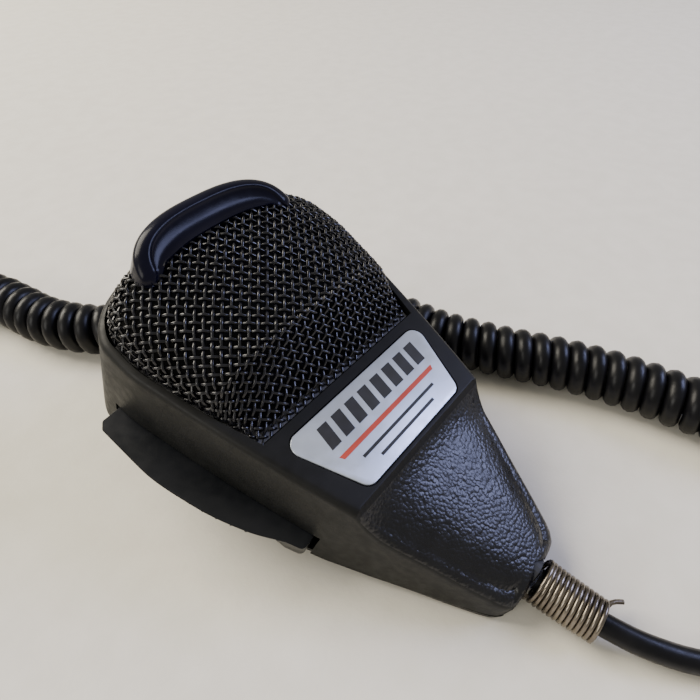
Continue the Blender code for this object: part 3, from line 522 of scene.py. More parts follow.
    @staticmethod
    def rounded(piece: bpy.types.Object, width: float, segments: int = 3, angle: float = 40.0) -> None:
        """Round a piece's sharp edges with a bevel.

        Args:
            piece: The piece.
            width: The bevel's width.
            segments: Its steps.
            angle: Edges sharper than this, in degrees, are rounded.
        """
        Bench.modify(piece, "BEVEL", width=width, segments=segments, limit_method="ANGLE",
                     angle_limit=math.radians(angle))

    @staticmethod
    def move(piece: bpy.types.Object, base: Point, axis: Point) -> None:
        """Set a piece that was made round +Z on a base point, along an axis.

        Args:
            piece: The piece.
            base: Where its zero goes.
            axis: Where its +Z points.
        """
        turn = Vector(axis).to_track_quat("Z", "Y").to_matrix().to_4x4()
        piece.data.transform(Matrix.Translation(Vector(base)) @ turn)

    @staticmethod
    def merge(name: str, parts: Sequence[bpy.types.Object]) -> bpy.types.Object:
        """Join several objects into one piece.

        Args:
            name: The piece's name.
            parts: The objects.

        Returns:
            The piece.
        """
        Bench.pick(parts[0])
        for part in parts[1:]:
            part.select_set(True)
        bpy.ops.object.join()
        return Bench.named(name)

    @staticmethod
    def hand_over(piece: bpy.types.Object, where: Matrix, body: str, slot: str, finish: Finish,
                  nodes: Sequence[str] = (), smooth: float = 35.0) -> bpy.types.Object:
        """Set a finished piece in the world, dress it and make it ride on its body.

        Args:
            piece: The piece, in millimetres.
            where: The frame that it was shaped in.
            body: The body that it moves with.
            slot: The record's material slot; not used.
            finish: The finish of faces that have none yet.
            nodes: The CAD nodes that it stands for.
            smooth: Faces that meet under this angle, in degrees, are shaded smooth.

        Returns:
            The piece.
        """
        piece.data.transform(where @ Matrix.Scale(MM, 4))
        if not piece.data.materials:
            piece.data.materials.append(finish.build())
        Bench.pick(piece)
        bpy.ops.object.shade_smooth_by_angle(angle=math.radians(smooth))
        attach(piece, body)
        if nodes:
            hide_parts(*nodes)
        LOG.info("%s: %d faces, rides on %s", piece.name, len(piece.data.polygons), body)
        return piece


def hand_frame() -> Matrix:
    """Find where the hand unit's own frame lies, from its push-to-talk joint.

    Returns:
        The matrix from the hand unit's frame to the world, both in metres.
    """
    press = next(joint for joint in frame["joints"] if joint["name"] == "ptt_press")
    tilt = math.atan2(press["axis"][1], -press["axis"][2])
    turn = Matrix.Rotation(tilt, 4, "X")
    return Matrix.Translation(Vector(press["pos_m"])) @ turn @ Matrix.Translation(-Vector(PIVOT) * MM)


def smooth_table(table: Sequence[Plan], value: float) -> float:
    """Read a table along a smooth curve that doesn't overshoot.

    Args:
        table: (key, value) pairs in rising order of their keys.
        value: The key to read at.

    Returns:
        The value there.
    """
    keys = [key for key, _ in table]
    heights = [height for _, height in table]
    spans = [(heights[n + 1] - heights[n]) / (keys[n + 1] - keys[n]) for n in range(len(keys) - 1)]

    def slope(n: int) -> float:
        """Find the slope at a table point, zero at a peak.

        Args:
            n: The point's number.

        Returns:
            The slope.
        """
        if n == 0 or n == len(keys) - 1:
            return spans[min(n, len(spans) - 1)]
        if spans[n - 1] * spans[n] <= 0.0:
            return 0.0
        return 2.0 * spans[n - 1] * spans[n] / (spans[n - 1] + spans[n])

    here = min(max(value, keys[0]), keys[-1])
    n = min(max(int(np.searchsorted(keys, here, "right")) - 1, 0), len(keys) - 2)
    run = keys[n + 1] - keys[n]
    t = (here - keys[n]) / run
    rise = heights[n + 1] - heights[n]
    a = slope(n) * run - rise
    b = rise - slope(n + 1) * run
    return heights[n] + t * rise + t * (1.0 - t) * (a * (1.0 - t) + b * t)


def distances(line: Sequence[Vector]) -> list[float]:
    """Measure along a line.

    Args:
        line: The line's points.

    Returns:
        The distance along the line to each of its points.
    """
    reach = [0.0]
    for a, b in zip(line, line[1:]):
        reach.append(reach[-1] + (b - a).length)
    return reach


def even_places(reach: Sequence[float], count: int) -> Iterator[tuple[float, int, float]]:
    """Go along a line in even steps.

    Args:
        reach: The distance along the line to each of its points.
        count: The number of steps.

    Yields:
        The distance, the number of the stretch that it is on and its share of that stretch.
    """
    index = 0
    for n in range(count + 1):
        target = reach[-1] * n / count
        while index < len(reach) - 2 and reach[index + 1] < target:
            index += 1
        yield target, index, (target - reach[index]) / (reach[index + 1] - reach[index])


def smooth_points(route: Sequence[Point], spacing: float) -> list[Vector]:
    """Space points evenly on a smooth curve through a route's points.

    Args:
        route: The route's own points.
        spacing: The distance between the new points.

    Returns:
        The new points.
    """
    points = [Vector(point) for point in route]
    dense = []
    for n in range(len(points) - 1):
        p0 = points[max(n - 1, 0)]
        p1 = points[n]
        p2 = points[n + 1]
        p3 = points[min(n + 2, len(points) - 1)]
        bend = 2.0 * p0 - 5.0 * p1 + 4.0 * p2 - p3
        twist = 3.0 * p1 - p0 - 3.0 * p2 + p3
        for t in (step / 20.0 for step in range(20)):
            dense.append(0.5 * (2.0 * p1 + (p2 - p0) * t + bend * t ** 2 + twist * t ** 3))
    dense.append(points[-1])
    reach = distances(dense)
    count = max(2, round(reach[-1] / spacing))
    return [dense[n].lerp(dense[n + 1], share) for _, n, share in even_places(reach, count)]


def wound(line: Sequence[Vector], radius: Callable[[float], float], pitch: float,
          per_turn: int) -> list[Vector]:
    """Wind a helix round a line.

    Args:
        line: The line's points, evenly spaced.
        radius: Gives the helix's radius at a distance along the line.
        pitch: The advance of one turn.
        per_turn: Points on one turn.

    Returns:
        The helix's points.
    """
    reach = distances(line)
    ahead = (line[1] - line[0]).normalized()
    side = ahead.cross(Vector((0.0, 0.0, 1.0))).normalized()
    sides = []
    for n in range(len(line)):
        run = (line[min(n + 1, len(line) - 1)] - line[max(n - 1, 0)]).normalized()
        side = (side - run * side.dot(run)).normalized()
        sides.append((side.copy(), run.cross(side)))
    count = round(reach[-1] / pitch * per_turn)
    points = []
    for number, (distance, n, share) in enumerate(even_places(reach, count)):
        centre = line[n].lerp(line[n + 1], share)
        across = sides[n][0].lerp(sides[n + 1][0], share)
        over = sides[n][1].lerp(sides[n + 1][1], share)
        angle = 2.0 * math.pi * number / per_turn
        points.append(centre + (across * math.cos(angle) + over * math.sin(angle)) * radius(distance))
    return points


def rounded_outline(corners: Sequence[tuple[float, ...]], radius: float, steps: int = 6) -> list[Plan]:
    """Round the corners of an outline.

    Args:
        corners: The corners, each with its own radius as a third number if it has one.
        radius: The radius of the other corners.
        steps: Steps of each arc.

    Returns:
        The outline's points.
    """
    outline = []
    for n, corner in enumerate(corners):
        here = Vector(corner[:2])
        size = corner[2] if len(corner) > 2 else radius
        to_prev = (Vector(corners[n - 1][:2]) - here).normalized()
        to_next = (Vector(corners[(n + 1) % len(corners)][:2]) - here).normalized()
        half = to_prev.angle(to_next) / 2.0
        centre = here + (to_prev + to_next).normalized() * (size / math.sin(half))
        start = here + to_prev * (size / math.tan(half)) - centre
        end = here + to_next * (size / math.tan(half)) - centre
        sweep = start.angle_signed(end)
        for step in range(steps + 1):
            point = centre + Matrix.Rotation(-sweep * step / steps, 2) @ start
            outline.append((point.x, point.y))
    return outline


# ---------------------------------------------------------------- housing

@dataclass
class Housing:
    """Front shell and back cover of the hand unit."""

    where: Matrix
    widths: tuple[Plan, ...] = (
        (-52.0, 8.8), (-50.6, 10.2), (-46.0, 12.2), (-36.0, 15.8), (-27.0, 19.1), (-18.5, 21.7),
        (-17.0, 22.1), (-13.0, 23.15), (-11.0, 23.65), (-5.0, 25.1), (8.0, 28.0), (22.0, 30.7),
        (31.0, 32.0), (37.0, 31.8), (41.5, 29.9), (45.5, 25.8), (48.8, 19.4), (50.9, 11.6), (51.6, 5.0))
    shoulder: float = -18.5
    slope_step: float = 1.6
    step_length: float = 2.2
    slope_fall: float = 0.185
    crown: float = 1.8
    crown_power: float = 3.4
    crown_start: float = 6.0
    draft: float = 0.05
    wall: float = 2.2
    depth: float = 30.0
    end_depth: float = 18.2
    knee: float = -12.0
    cover: float = 2.6
    cover_inset: float = 0.7
    cover_bevel: float = 1.1
    cover_steps: int = 4
    bezel_radius: float = 1.5
    slope_radius: float = 2.2
    columns: int = 44
    screws: tuple[Plan, ...] = ((-26.4, 41.0), (26.4, 41.0), (9.6, -31.0))
    button: Plan = (0.0, 17.5)
    arc_steps: int = 6
    wall_steps: int = 5
    head_rows_from: float = 34.0
    rows: list[float] = field(default_factory=list)

    def __post_init__(self) -> None:
        """Space the rows, closer at the shoulder and at both ends."""
        low = self.widths[0][0]
        high = self.widths[-1][0]
        near = self.shoulder - 2.0
        far = self.shoulder + 1.2
        turn = self.head_rows_from
        cord_end = [low + (near - low) * (n / 34.0) ** 1.5 for n in range(34)]
        step = list(np.linspace(near, far, 22)[:-1])
        middle = list(np.linspace(far, turn, 34)[:-1])
        head = [high - (high - turn) * (1.0 - n / 30.0) ** 1.8 for n in range(31)]
        self.rows = cord_end + step + middle + head

    def half(self, y: float) -> float:
        """Find the half-width of the bezel outline.

        Args:
            y: Where along the unit.

        Returns:
            The half-width.
        """
        return smooth_table(self.widths, y)

    def back(self, y: float) -> float:
        """Find the height of the back.

        Args:
            y: Where along the unit.

        Returns:
            The height.
        """
        rise = max(0.0, self.knee - y) / (self.knee - self.widths[0][0])
        return -self.depth + rise * (self.depth - self.end_depth)

    def front(self, u: float, y: float) -> float:
        """Find the height of the front.

        Args:
            u: The place across, -1 to 1.
            y: Where along the unit.

        Returns:
            The height.
        """
        run = max(0.0, self.shoulder - y)
        drop = self.slope_step * (1.0 - math.exp(-run / self.step_length)) + self.slope_fall * run
        return -drop - self.crown * abs(u) ** self.crown_power * min(1.0, run / self.crown_start)

    def edge(self, y: float) -> float:
        """Find the radius of the front edge.

        Args:
            y: Where along the unit.

        Returns:
            The radius.
        """
        share = min(1.0, max(0.0, (self.shoulder + 1.0 - y) / 5.0))
        return self.bezel_radius + share * (self.slope_radius - self.bezel_radius)

    def row(self, v: float) -> float:
        """Find the outline's own y at a row.

        Args:
            v: The place along, -1 to 1.

        Returns:
            The row's y.
        """
        return self.rows[round((v + 1.0) / 2.0 * (len(self.rows) - 1))]

    def spot(self, u: float, v: float, inset: float) -> Plan:
        """Find a plan point drawn in from the outline.

        Args:
            u: The place across, -1 to 1.
            v: The place along, -1 to 1.
            inset: How far it is drawn in.

        Returns:
            The point.
        """
        low = self.widths[0][0]
        length = self.widths[-1][0] - low
        base = self.row(v)
        y = low + inset + (base - low) * (length - 2.0 * inset) / length
        return u * (self.half(base) - inset), y

    def shell_point(self, u: float, v: float, layer: int) -> Point:
        """Place a point of the shell; its layers run from the seam up the wall and over the edge.

        Args:
            u: The place across, -1 to 1.
            v: The place along, -1 to 1.
            layer: The layer.

        Returns:
            The point.
        """
        base = self.row(v)
        front = self.front(u, base)
        radius = self.edge(base)
        seam = self.back(base) + self.cover
        if layer <= self.wall_steps:
            height = seam + layer / self.wall_steps * (front - radius - seam)
            return *self.spot(u, v, -self.draft * (front - radius - height)), height
        turn = math.radians(90.0 * (layer - self.wall_steps) / self.arc_steps)
        height = front - radius * (1.0 - math.sin(turn))
        return *self.spot(u, v, radius * (1.0 - math.cos(turn))), height

    def build(self, openings: Sequence[bpy.types.Object]) -> None:
        """Build the shell, cut its openings and build the back cover.

        Args:
            openings: The cutters for the openings in the shell.
        """
        layers = self.wall_steps + self.arc_steps + 1
        shell = Bench.stack("housing_shell", self.columns, len(self.rows) - 1, layers, self.shell_point)
        Bench.combine(shell, self.cavity())
        for opening in openings:
            Bench.combine(shell, opening)
        self.dress(shell)
        Bench.hand_over(shell, self.where, "hand_unit", "housing", Finishes.BEZEL, ["front_shell"], 32.0)
        self.build_cover()

    def cavity(self) -> bpy.types.Object:
        """Make the hollow of the shell.

        Returns:
            The cutter.
        """
        def place(u: float, v: float, layer: int) -> Point:
            """Place a point; the layers run from under the seam to the inside of the front.

            Args:
                u: The place across, -1 to 1.
                v: The place along, -1 to 1.
                layer: The layer.

            Returns:
                The point.
            """
            base = self.row(v)
            if layer == 0:
                return *self.spot(u, v, self.wall - 1.6), self.back(base) + self.cover - 3.0
            step = 1.0 if layer == 2 else 0.0
            top = self.front(u, base) - self.wall
            return *self.spot(u, v, self.wall + step), top - 3.0 * (1.0 - step)

        return Bench.stack("cavity", 12, len(self.rows) - 1, 3, place)

    def dress(self, shell: bpy.types.Object) -> None:
        """Give the bezel, the pad and the walls of the shell their own finishes.

        Args:
            shell: The shell.
        """
        for finish in (Finishes.BEZEL, Finishes.PAD, Finishes.WALL):
            shell.data.materials.append(finish.build())
        for face in shell.data.polygons:
            if face.normal.z < 0.55:
                face.material_index = 2
            elif face.center.y - self.shoulder < -0.5 and face.center.z < 0.5:
                face.material_index = 1

    def cover_point(self, u: float, v: float, layer: int) -> Point:
        """Place a point of the back cover: a rounded lower edge, then the wall up to the seam.

        Args:
            u: The place across, -1 to 1.
            v: The place along, -1 to 1.
            layer: The layer.

        Returns:
            The point.
        """
        back = self.back(self.row(v))
        inset = self.cover_inset - self.draft * 20.0
        if layer > self.cover_steps:
            return *self.spot(u, v, inset), back + self.cover - GAP
        turn = math.radians(90.0 * layer / self.cover_steps)
        rise = self.cover_bevel * (1.0 - math.cos(turn))
        return *self.spot(u, v, inset + self.cover_bevel * (1.0 - math.sin(turn))), back + rise

    def build_cover(self) -> None:
        """Build the back cover with its screw seats and the hang button's hole."""
        cover = Bench.stack("back_cover_panel", self.columns, len(self.rows) - 1, self.cover_steps + 2,
                            self.cover_point)
        seat_profile = ((0.0, 0.0), (3.2, 0.0), (2.9, 4.7), (1.6, 4.7), (1.6, 12.0), (0.0, 12.0))
        for x, y in self.screws:
            seat = Bench.spun("seat", seat_profile, 32)
            Bench.move(seat, (x, y, self.back(y) - 3.0), (0.0, 0.0, 1.0))
            Bench.combine(cover, seat)
        x, y = self.button
        hole = Bench.rod("hole", 1.9, 0.0, 8.0)
        Bench.move(hole, (x, y, -self.depth - 3.0), (0.0, 0.0, 1.0))
        Bench.combine(cover, hole)
        cover.data.materials.append(Finishes.COVER.build())
        Bench.hand_over(cover, self.where, "hand_unit", "housing", Finishes.COVER, ["back_cover"], 32.0)


@dataclass
class Fastenings:
    """Hang button and the screws whose heads show."""

    where: Matrix
    housing: Housing
    stand: float = 8.2
    head: float = 7.5
    neck: float = 4.4

    def build(self) -> None:
        """Build the hang button and the cover screws."""
        reach = self.stand - GAP
        head = self.head
        profile = ((1.6, 0.0), (5.6, 0.0), (5.3, 0.5), (self.neck + 0.2, 1.1), (self.neck, 1.6),
                   (self.neck, reach - 3.4), (self.neck + 0.5, reach - 2.9), (head - 0.9, reach - 2.5),
                   (head - 0.2, reach - 2.0), (head, reach - 1.4), (head - 0.1, reach - 0.8),
                   (head - 0.6, reach - 0.2), (head - 1.2, reach), (2.4, reach), (1.9, reach - 0.3),
                   (1.7, reach - 1.4), (1.2, reach - 1.6), (1.2, reach - 2.4), (1.6, reach - 2.4))
        button = Bench.spun("hang_button_turned", profile, 72)
        x, y = self.housing.button
        Bench.move(button, (x, y, -self.housing.depth - GAP), (0.0, 0.0, -1.0))
        Bench.hand_over(button, self.where, "hand_unit", "nickel", Finishes.NICKEL, ["hang_button"])
        for number, (sx, sy) in enumerate(self.housing.screws, 1):
            fixing = self.cross_screw(f"cover_fixing_{number}", 2.5, 1.2, 8.0)
            Bench.move(fixing, (sx, sy, self.housing.back(sy) + 1.3), (0.0, 0.0, -1.0))
            Bench.hand_over(fixing, self.where, "hand_unit", "steel", Finishes.STEEL,
                            [f"cover_screw_{number}"])

    @staticmethod
    def cross_screw(name: str, head: float, shank: float, length: float) -> bpy.types.Object:
        """Make a pan-head screw with a cross recess, its head's seat at zero.

        Args:
            name: The piece's name.
            head: The head's radius.
            shank: The shank's radius.
            length: The shank's length.

        Returns:
            The screw.
        """
        profile = ((0.0, -length), (shank * 0.7, -length), (shank, -length + 1.0), (shank, 0.0),
                   (head, 0.0), (head, head * 0.10), (head * 0.92, head * 0.26), (head * 0.7, head * 0.40),
                   (head * 0.4, head * 0.47), (0.0, head * 0.5))
        screw = Bench.spun(name, profile, 32)
        recess = (Matrix.Translation((0.0, 0.0, head * 0.42))
                  @ Matrix.Diagonal((head * 1.1, head * 0.26, head * 0.5, 1.0)))
        for turn in (0.0, math.pi / 2.0):
            Bench.combine(screw, Bench.block(Matrix.Rotation(turn, 4, "Z") @ recess))
        return screw


# ---------------------------------------------------------------- head

@dataclass
class Head:
    """Woven grille dome, the foam behind it and the lip guard."""

    where: Matrix
    housing: Housing
    y0: float = 2.8
    y1: float = 49.0
    rims: tuple[Plan, ...] = ((2.8, 3.2), (17.0, 2.2), (27.0, 2.0))
    round_length: float = 12.0
    round_power: float = 2.8
    slope_length: float = 10.8
    slope_dip: float = 0.10
    head_length: float = 9.5
    head_power: float = 2.3
    dome_power: float = 2.6
    dome_fall: float = 0.45
    foam_insets: Plan = (4.0, 2.1)
    height: float = 12.8
    foot: float = -1.0
    pitch: float = 1.66
    wire: float = 0.56
    guard_half: float = 18.4
    guard_shift: float = -1.0
    guard_tip: Plan = (37.2, 10.4)
    guard_length: float = 9.7
    guard_width: float = 3.4
    guard_top: float = 14.4
    guard_reach: float = 6.3
    guard_rows: int = 120

    def half(self, y: float, inset: float = 0.0) -> float:
        """Find the half-width of the grille, closed round at the head.

        Args:
            y: Where along the unit.
            inset: How far it is drawn in.

        Returns:
            The half-width.
        """
        rim = smooth_table(self.rims, y)
        open_half = self.housing.half(y) - rim - inset
        reach = max(0.0, (self.y1 - inset - y) / self.round_length)
        if reach >= 1.0:
            return open_half
        round_off = math.sqrt(max(0.0, 1.0 - (1.0 - reach) ** self.round_power))
        widest = self.housing.half(self.y1 - self.round_length) - rim - inset
        return max(4.0 * min(1.0, reach * self.round_length), min(open_half, widest * round_off))

    def ridge(self, y: float, inset: float = 0.0) -> float:
        """Find the height of the dome's ridge line above its foot.

        Args:
            y: Where along the unit.
            inset: How far it is drawn in.

        Returns:
            The height.
        """
        up = min(1.0, max(0.0, (y - inset - self.y0) / self.slope_length))
        down = min(1.0, max(0.0, (self.y1 - inset - y) / self.head_length))
        slope = up - self.slope_dip * math.sin(math.pi * up) ** 2 if up < 1.0 else 1.0
        head = math.sqrt(max(0.0, 1.0 - (1.0 - down) ** self.head_power))
        return (self.height - inset) * slope * head

    def dome(self, u: float, y: float, inset: float = 0.0) -> Vector:
        """Find a point of the dome.

        Args:
            u: The place across, -1 to 1.
            y: Where along the unit.
            inset: How far it is drawn in.

        Returns:
            The point.
        """
        lift = max(0.0, 1.0 - abs(u) ** self.dome_power) ** self.dome_fall
        return Vector((u * self.half(y, inset), y, self.ridge(y, inset) * lift + self.foot))

    def surface(self, x: float, y: float) -> float:
        """Find the height of the grille, or of the bezel beside the grille.

        Args:
            x: Where across the unit.
            y: Where along the unit.

        Returns:
            The height.
        """
        if y >= self.y1 or abs(x) >= self.half(y):
            return 0.0
        return max(0.0, self.dome(x / self.half(y), y).z)

    def opening(self) -> bpy.types.Object:
        """Make the cutter for the opening under the grille.

        Returns:
            The cutter.
        """
        rows = [self.y0 - GAP + (self.y1 - self.y0 + 2.0 * GAP) * math.sin(n / 28.0 * math.pi / 2.0)
                for n in range(29)]
        halves = [self.half(min(y, self.y1 - 0.2)) + GAP for y in rows]
        outline = [(half, y) for half, y in zip(halves, rows)]
        outline += [(-half, y) for half, y in reversed(outline)]
        return Bench.prism("grille_opening", outline, -8.0, 6.0)

    def build(self) -> None:
        """Build the grille, the foam behind it and the guard."""
        self.build_grille()
        self.build_foam()
        self.build_guard()

    def build_foam(self) -> None:
        """Build the foam dome behind the grille."""
        def place(u: float, v: float, layer: int) -> Point:
            """Place a point; the inner skin is layer 0 and the outer one layer 1.

            Args:
                u: The place across, -1 to 1.
                v: The place along, -1 to 1.
                layer: The layer.

            Returns:
                The point.
            """
            inset = self.foam_insets[layer]
            low = self.y0 + inset
            high = self.y1 - inset - 0.3
            y = low + (high - low) * (v + 1.0) / 2.0
            return tuple(self.dome(math.sin(u * math.pi / 2.0), y, inset))

        foam = Bench.stack("windscreen_foam_dome", 48, 56, 2, place)
        Bench.hand_over(foam, self.where, "hand_unit", "foam", Finishes.FOAM, ["windscreen_foam"], 60.0)

    def build_grille(self) -> None:
        """Weave the grille: two sets of diagonal wires over and under each other on the dome."""
        levels = np.linspace(self.y0, self.y1 - 0.02, 180)
        places = np.sin(np.linspace(0.0, math.pi / 2.0, 60))
        along = distances([self.dome(0.0, y) for y in levels])
        across = [distances([self.dome(u, y) for u in places]) for y in levels]

        def locate(s: float, t: float) -> tuple[Vector, Vector] | None:
            """Find a place on the dome.

            Args:
                s: The distance across from the ridge line.
                t: The distance along the ridge line.

            Returns:
                The point and the normal there, or None outside the dome.
            """
            if not 0.0 <= t <= along[-1]:
                return None
            index = float(np.interp(t, along, np.arange(len(levels))))
            low = min(int(index), len(levels) - 2)
            share = index - low
            if abs(s) > across[low][-1] * (1.0 - share) + across[low + 1][-1] * share:
                return None
            u = (np.interp(abs(s), across[low], places) * (1.0 - share)
                 + np.interp(abs(s), across[low + 1], places) * share)
            u = float(math.copysign(u, s))
            y = float(levels[low] + share * (levels[low + 1] - levels[low]))
            side = self.dome(min(1.0, u + 0.01), y) - self.dome(max(-1.0, u - 0.01), y)
            run = self.dome(u, min(y + 0.1, self.y1)) - self.dome(u, max(y - 0.1, self.y0))
            return self.dome(u, y), side.cross(run).normalized()

        lines = []
        swing = self.wire * 0.52
        sunk = self.wire + 0.1
        steps = 4
        widest = 45.0
        reach = int((along[-1] + 2.0 * widest) / self.pitch)
        for family in (1.0, -1.0):
            for number in range(-reach, reach + 1):
                line = []
                for k in range(-reach * steps, reach * steps + 1):
                    a = number * self.pitch
                    b = k * self.pitch / steps
                    spot = locate((b - a) * math.sqrt(0.5) * family, (a + b) * math.sqrt(0.5))
                    if spot is None:
                        if line:
                            break
                        continue
                    phase = math.pi * (k / steps + number) + (0.0 if family > 0.0 else math.pi)
                    point, normal = spot
                    line.append(point - normal * sunk + normal * (swing * math.cos(phase)))
                if len(line) > 3:
                    lines.append(line)
        grille = Bench.wires("grille_weave", lines, self.wire / 2.0, 1)
        Bench.hand_over(grille, self.where, "hand_unit", "grille_wire", Finishes.WIRE, ["grille"], 60.0)

    def guard_ring(self, t: float) -> list[Vector]:
        """Find a section of the lip guard.

        Args:
            t: The place along the guard, -1 to 1.

        Returns:
            The section's points: the foot, the outer wall, the crest and the hollow inner face.
        """
        turn = abs(t) * math.pi / 2.0
        sine = math.sin(turn)
        cosine = max(0.0, math.cos(turn))
        along = cosine ** 0.75
        out = Vector((self.guard_length * sine ** 1.25, self.guard_half * cosine ** 1.25, 0.0)).normalized()
        close = math.sqrt(max(0.0, 1.0 - max(0.0, (abs(t) - 0.93) / 0.07) ** 2.0))
        half = self.guard_width / 2.0 * (0.2 + 0.8 * close)
        tip_y, tip_z = self.guard_tip
        top = tip_z + (self.guard_top - tip_z) * along ** 0.9 - 1.1 * (1.0 - close)
        crest = Vector((self.guard_half * sine ** 0.75, tip_y + self.guard_length * along, top))
        up = Vector((0.0, 0.0, 1.0))
        foot = crest + out * (half + (self.guard_reach - half) * 0.3 * along)
        foot.z = max(GAP, self.surface(foot.x, foot.y) - 0.9)
        inner = crest - out * (half + (self.guard_reach - half) * along ** 0.6)
        inner.z = min(self.surface(inner.x, inner.y) + 0.1, top - 0.4)
        sunk = inner - up * 1.0
        lean = 0.55
        shoulder = 2.0
        bead = 0.6
        brow = crest - out * half * lean
        arc = [brow - up * shoulder + out * half * (1.0 + lean) * math.cos(a) + up * shoulder * math.sin(a)
               for a in (math.pi / 2.0 * n / 9.0 for n in range(10))]
        arc += [brow - up * bead + out * half * (1.0 - lean) * math.cos(a) + up * bead * math.sin(a)
                for a in (math.pi / 2.0 * (1.0 + n / 5.0) for n in range(1, 6))]
        wall = [foot.lerp(arc[0], n / 4.0) for n in range(4)]
        slope = [arc[-1].lerp(inner, n / 6.0) - up * along * math.sin(math.pi * n / 6.0) for n in range(1, 7)]
        ring = [sunk] + wall + arc + slope
        side = math.copysign(1.0, t)
        return [Vector((side * point.x + self.guard_shift, point.y, point.z)) for point in ring]

    def build_guard(self) -> None:
        """Build the lip guard: a rounded wall in a crescent over the head end of the grille."""
        rows = self.guard_rows
        rings = [self.guard_ring(2.0 * n / rows - 1.0) for n in range(rows + 1)]
        columns = len(rings[0])
        Bench.clear()
        bpy.ops.mesh.primitive_grid_add(x_subdivisions=columns, y_subdivisions=rows, size=2.0)
        guard = Bench.named("lip_guard_crescent")
        for vertex in guard.data.vertices:
            u, v, _ = vertex.co
            column = round((u + 1.0) / 2.0 * columns) % columns
            vertex.co = rings[round((v + 1.0) / 2.0 * rows)][column]
        Bench.edit(guard)
        bpy.ops.mesh.remove_doubles(threshold=0.001)
        bpy.ops.mesh.select_all(action="DESELECT")
        bpy.ops.mesh.select_non_manifold()
        bpy.ops.mesh.fill(use_beauty=True)
        bpy.ops.object.mode_set(mode="OBJECT")
        Bench.tidy(guard)
        Bench.hand_over(guard, self.where, "hand_unit", "gloss_black", Finishes.GUARD, ["lip_guard"], 60.0)


@dataclass
class Nameplate:
    """Silver plate with a printed pattern of bars, in its recess."""

    where: Matrix
    top: float = 22.2
    bottom: float = 15.6
    height: float = 17.0
    corner: float = 2.6
    thick: float = 0.8
    recess: float = 1.0
    ink: float = 0.05
    bars: int = 8
    first_bar: float = -15.4
    bar_pitch: float = 4.1
    rules: tuple[Plan, ...] = ((-12.2, 12.0), (-14.4, 9.0))
    rule_half: float = 0.32

    def outline(self, grow: float = 0.0) -> list[Plan]:
        """Find the outline of the plate.

        Args:
            grow: How far it is grown.

        Returns:
            The outline's points.
        """
        top = self.top + grow
        bottom = self.bottom + grow
        corners = ((-bottom, -self.height - grow), (bottom, -self.height - grow), (top, grow), (-top, grow))
        return rounded_outline(corners, self.corner + grow, 8)

    def opening(self) -> bpy.types.Object:
        """Make the cutter for the plate's recess.

        Returns:
            The cutter.
        """
        return Bench.prism("plate_recess", self.outline(GAP), -self.recess, 2.0)

    def build(self) -> None:
        """Build the plate and its printed bars."""
        face = -self.recess + GAP + self.thick
        plate = Bench.prism("nameplate_silver", self.outline(), -self.recess + GAP, face)
        Bench.rounded(plate, 0.22, 3)
        Bench.hand_over(plate, self.where, "hand_unit", "plate", Finishes.PLATE, ["nameplate"], 30.0)
        low = face - self.ink
        high = face + self.ink
        prints = []
        for n in range(self.bars):
            x = self.first_bar + self.bar_pitch * n
            bar = ((x, -7.2), (x + 2.7, -7.2), (x + 3.6, -2.2), (x + 0.9, -2.2))
            prints.append(Bench.prism("bar", bar, low, high))
        for y, half in self.rules:
            y0 = y - self.rule_half
            y1 = y + self.rule_half
            rule = ((-half, y0), (half, y0), (half, y1), (-half, y1))
            prints.append(Bench.prism("rule", rule, low, high))
        dark = Bench.merge("nameplate_print_dark", prints)
        Bench.hand_over(dark, self.where, "hand_unit", "plate", Finishes.INK_BLACK)
        stripe = ((-15.0, -10.0), (15.0, -10.0), (15.6, -9.0), (-15.6, -9.0))
        red = Bench.prism("nameplate_print_red", stripe, low, high)
        Bench.hand_over(red, self.where, "hand_unit", "plate", Finishes.INK_RED)


# ---------------------------------------------------------------- lever

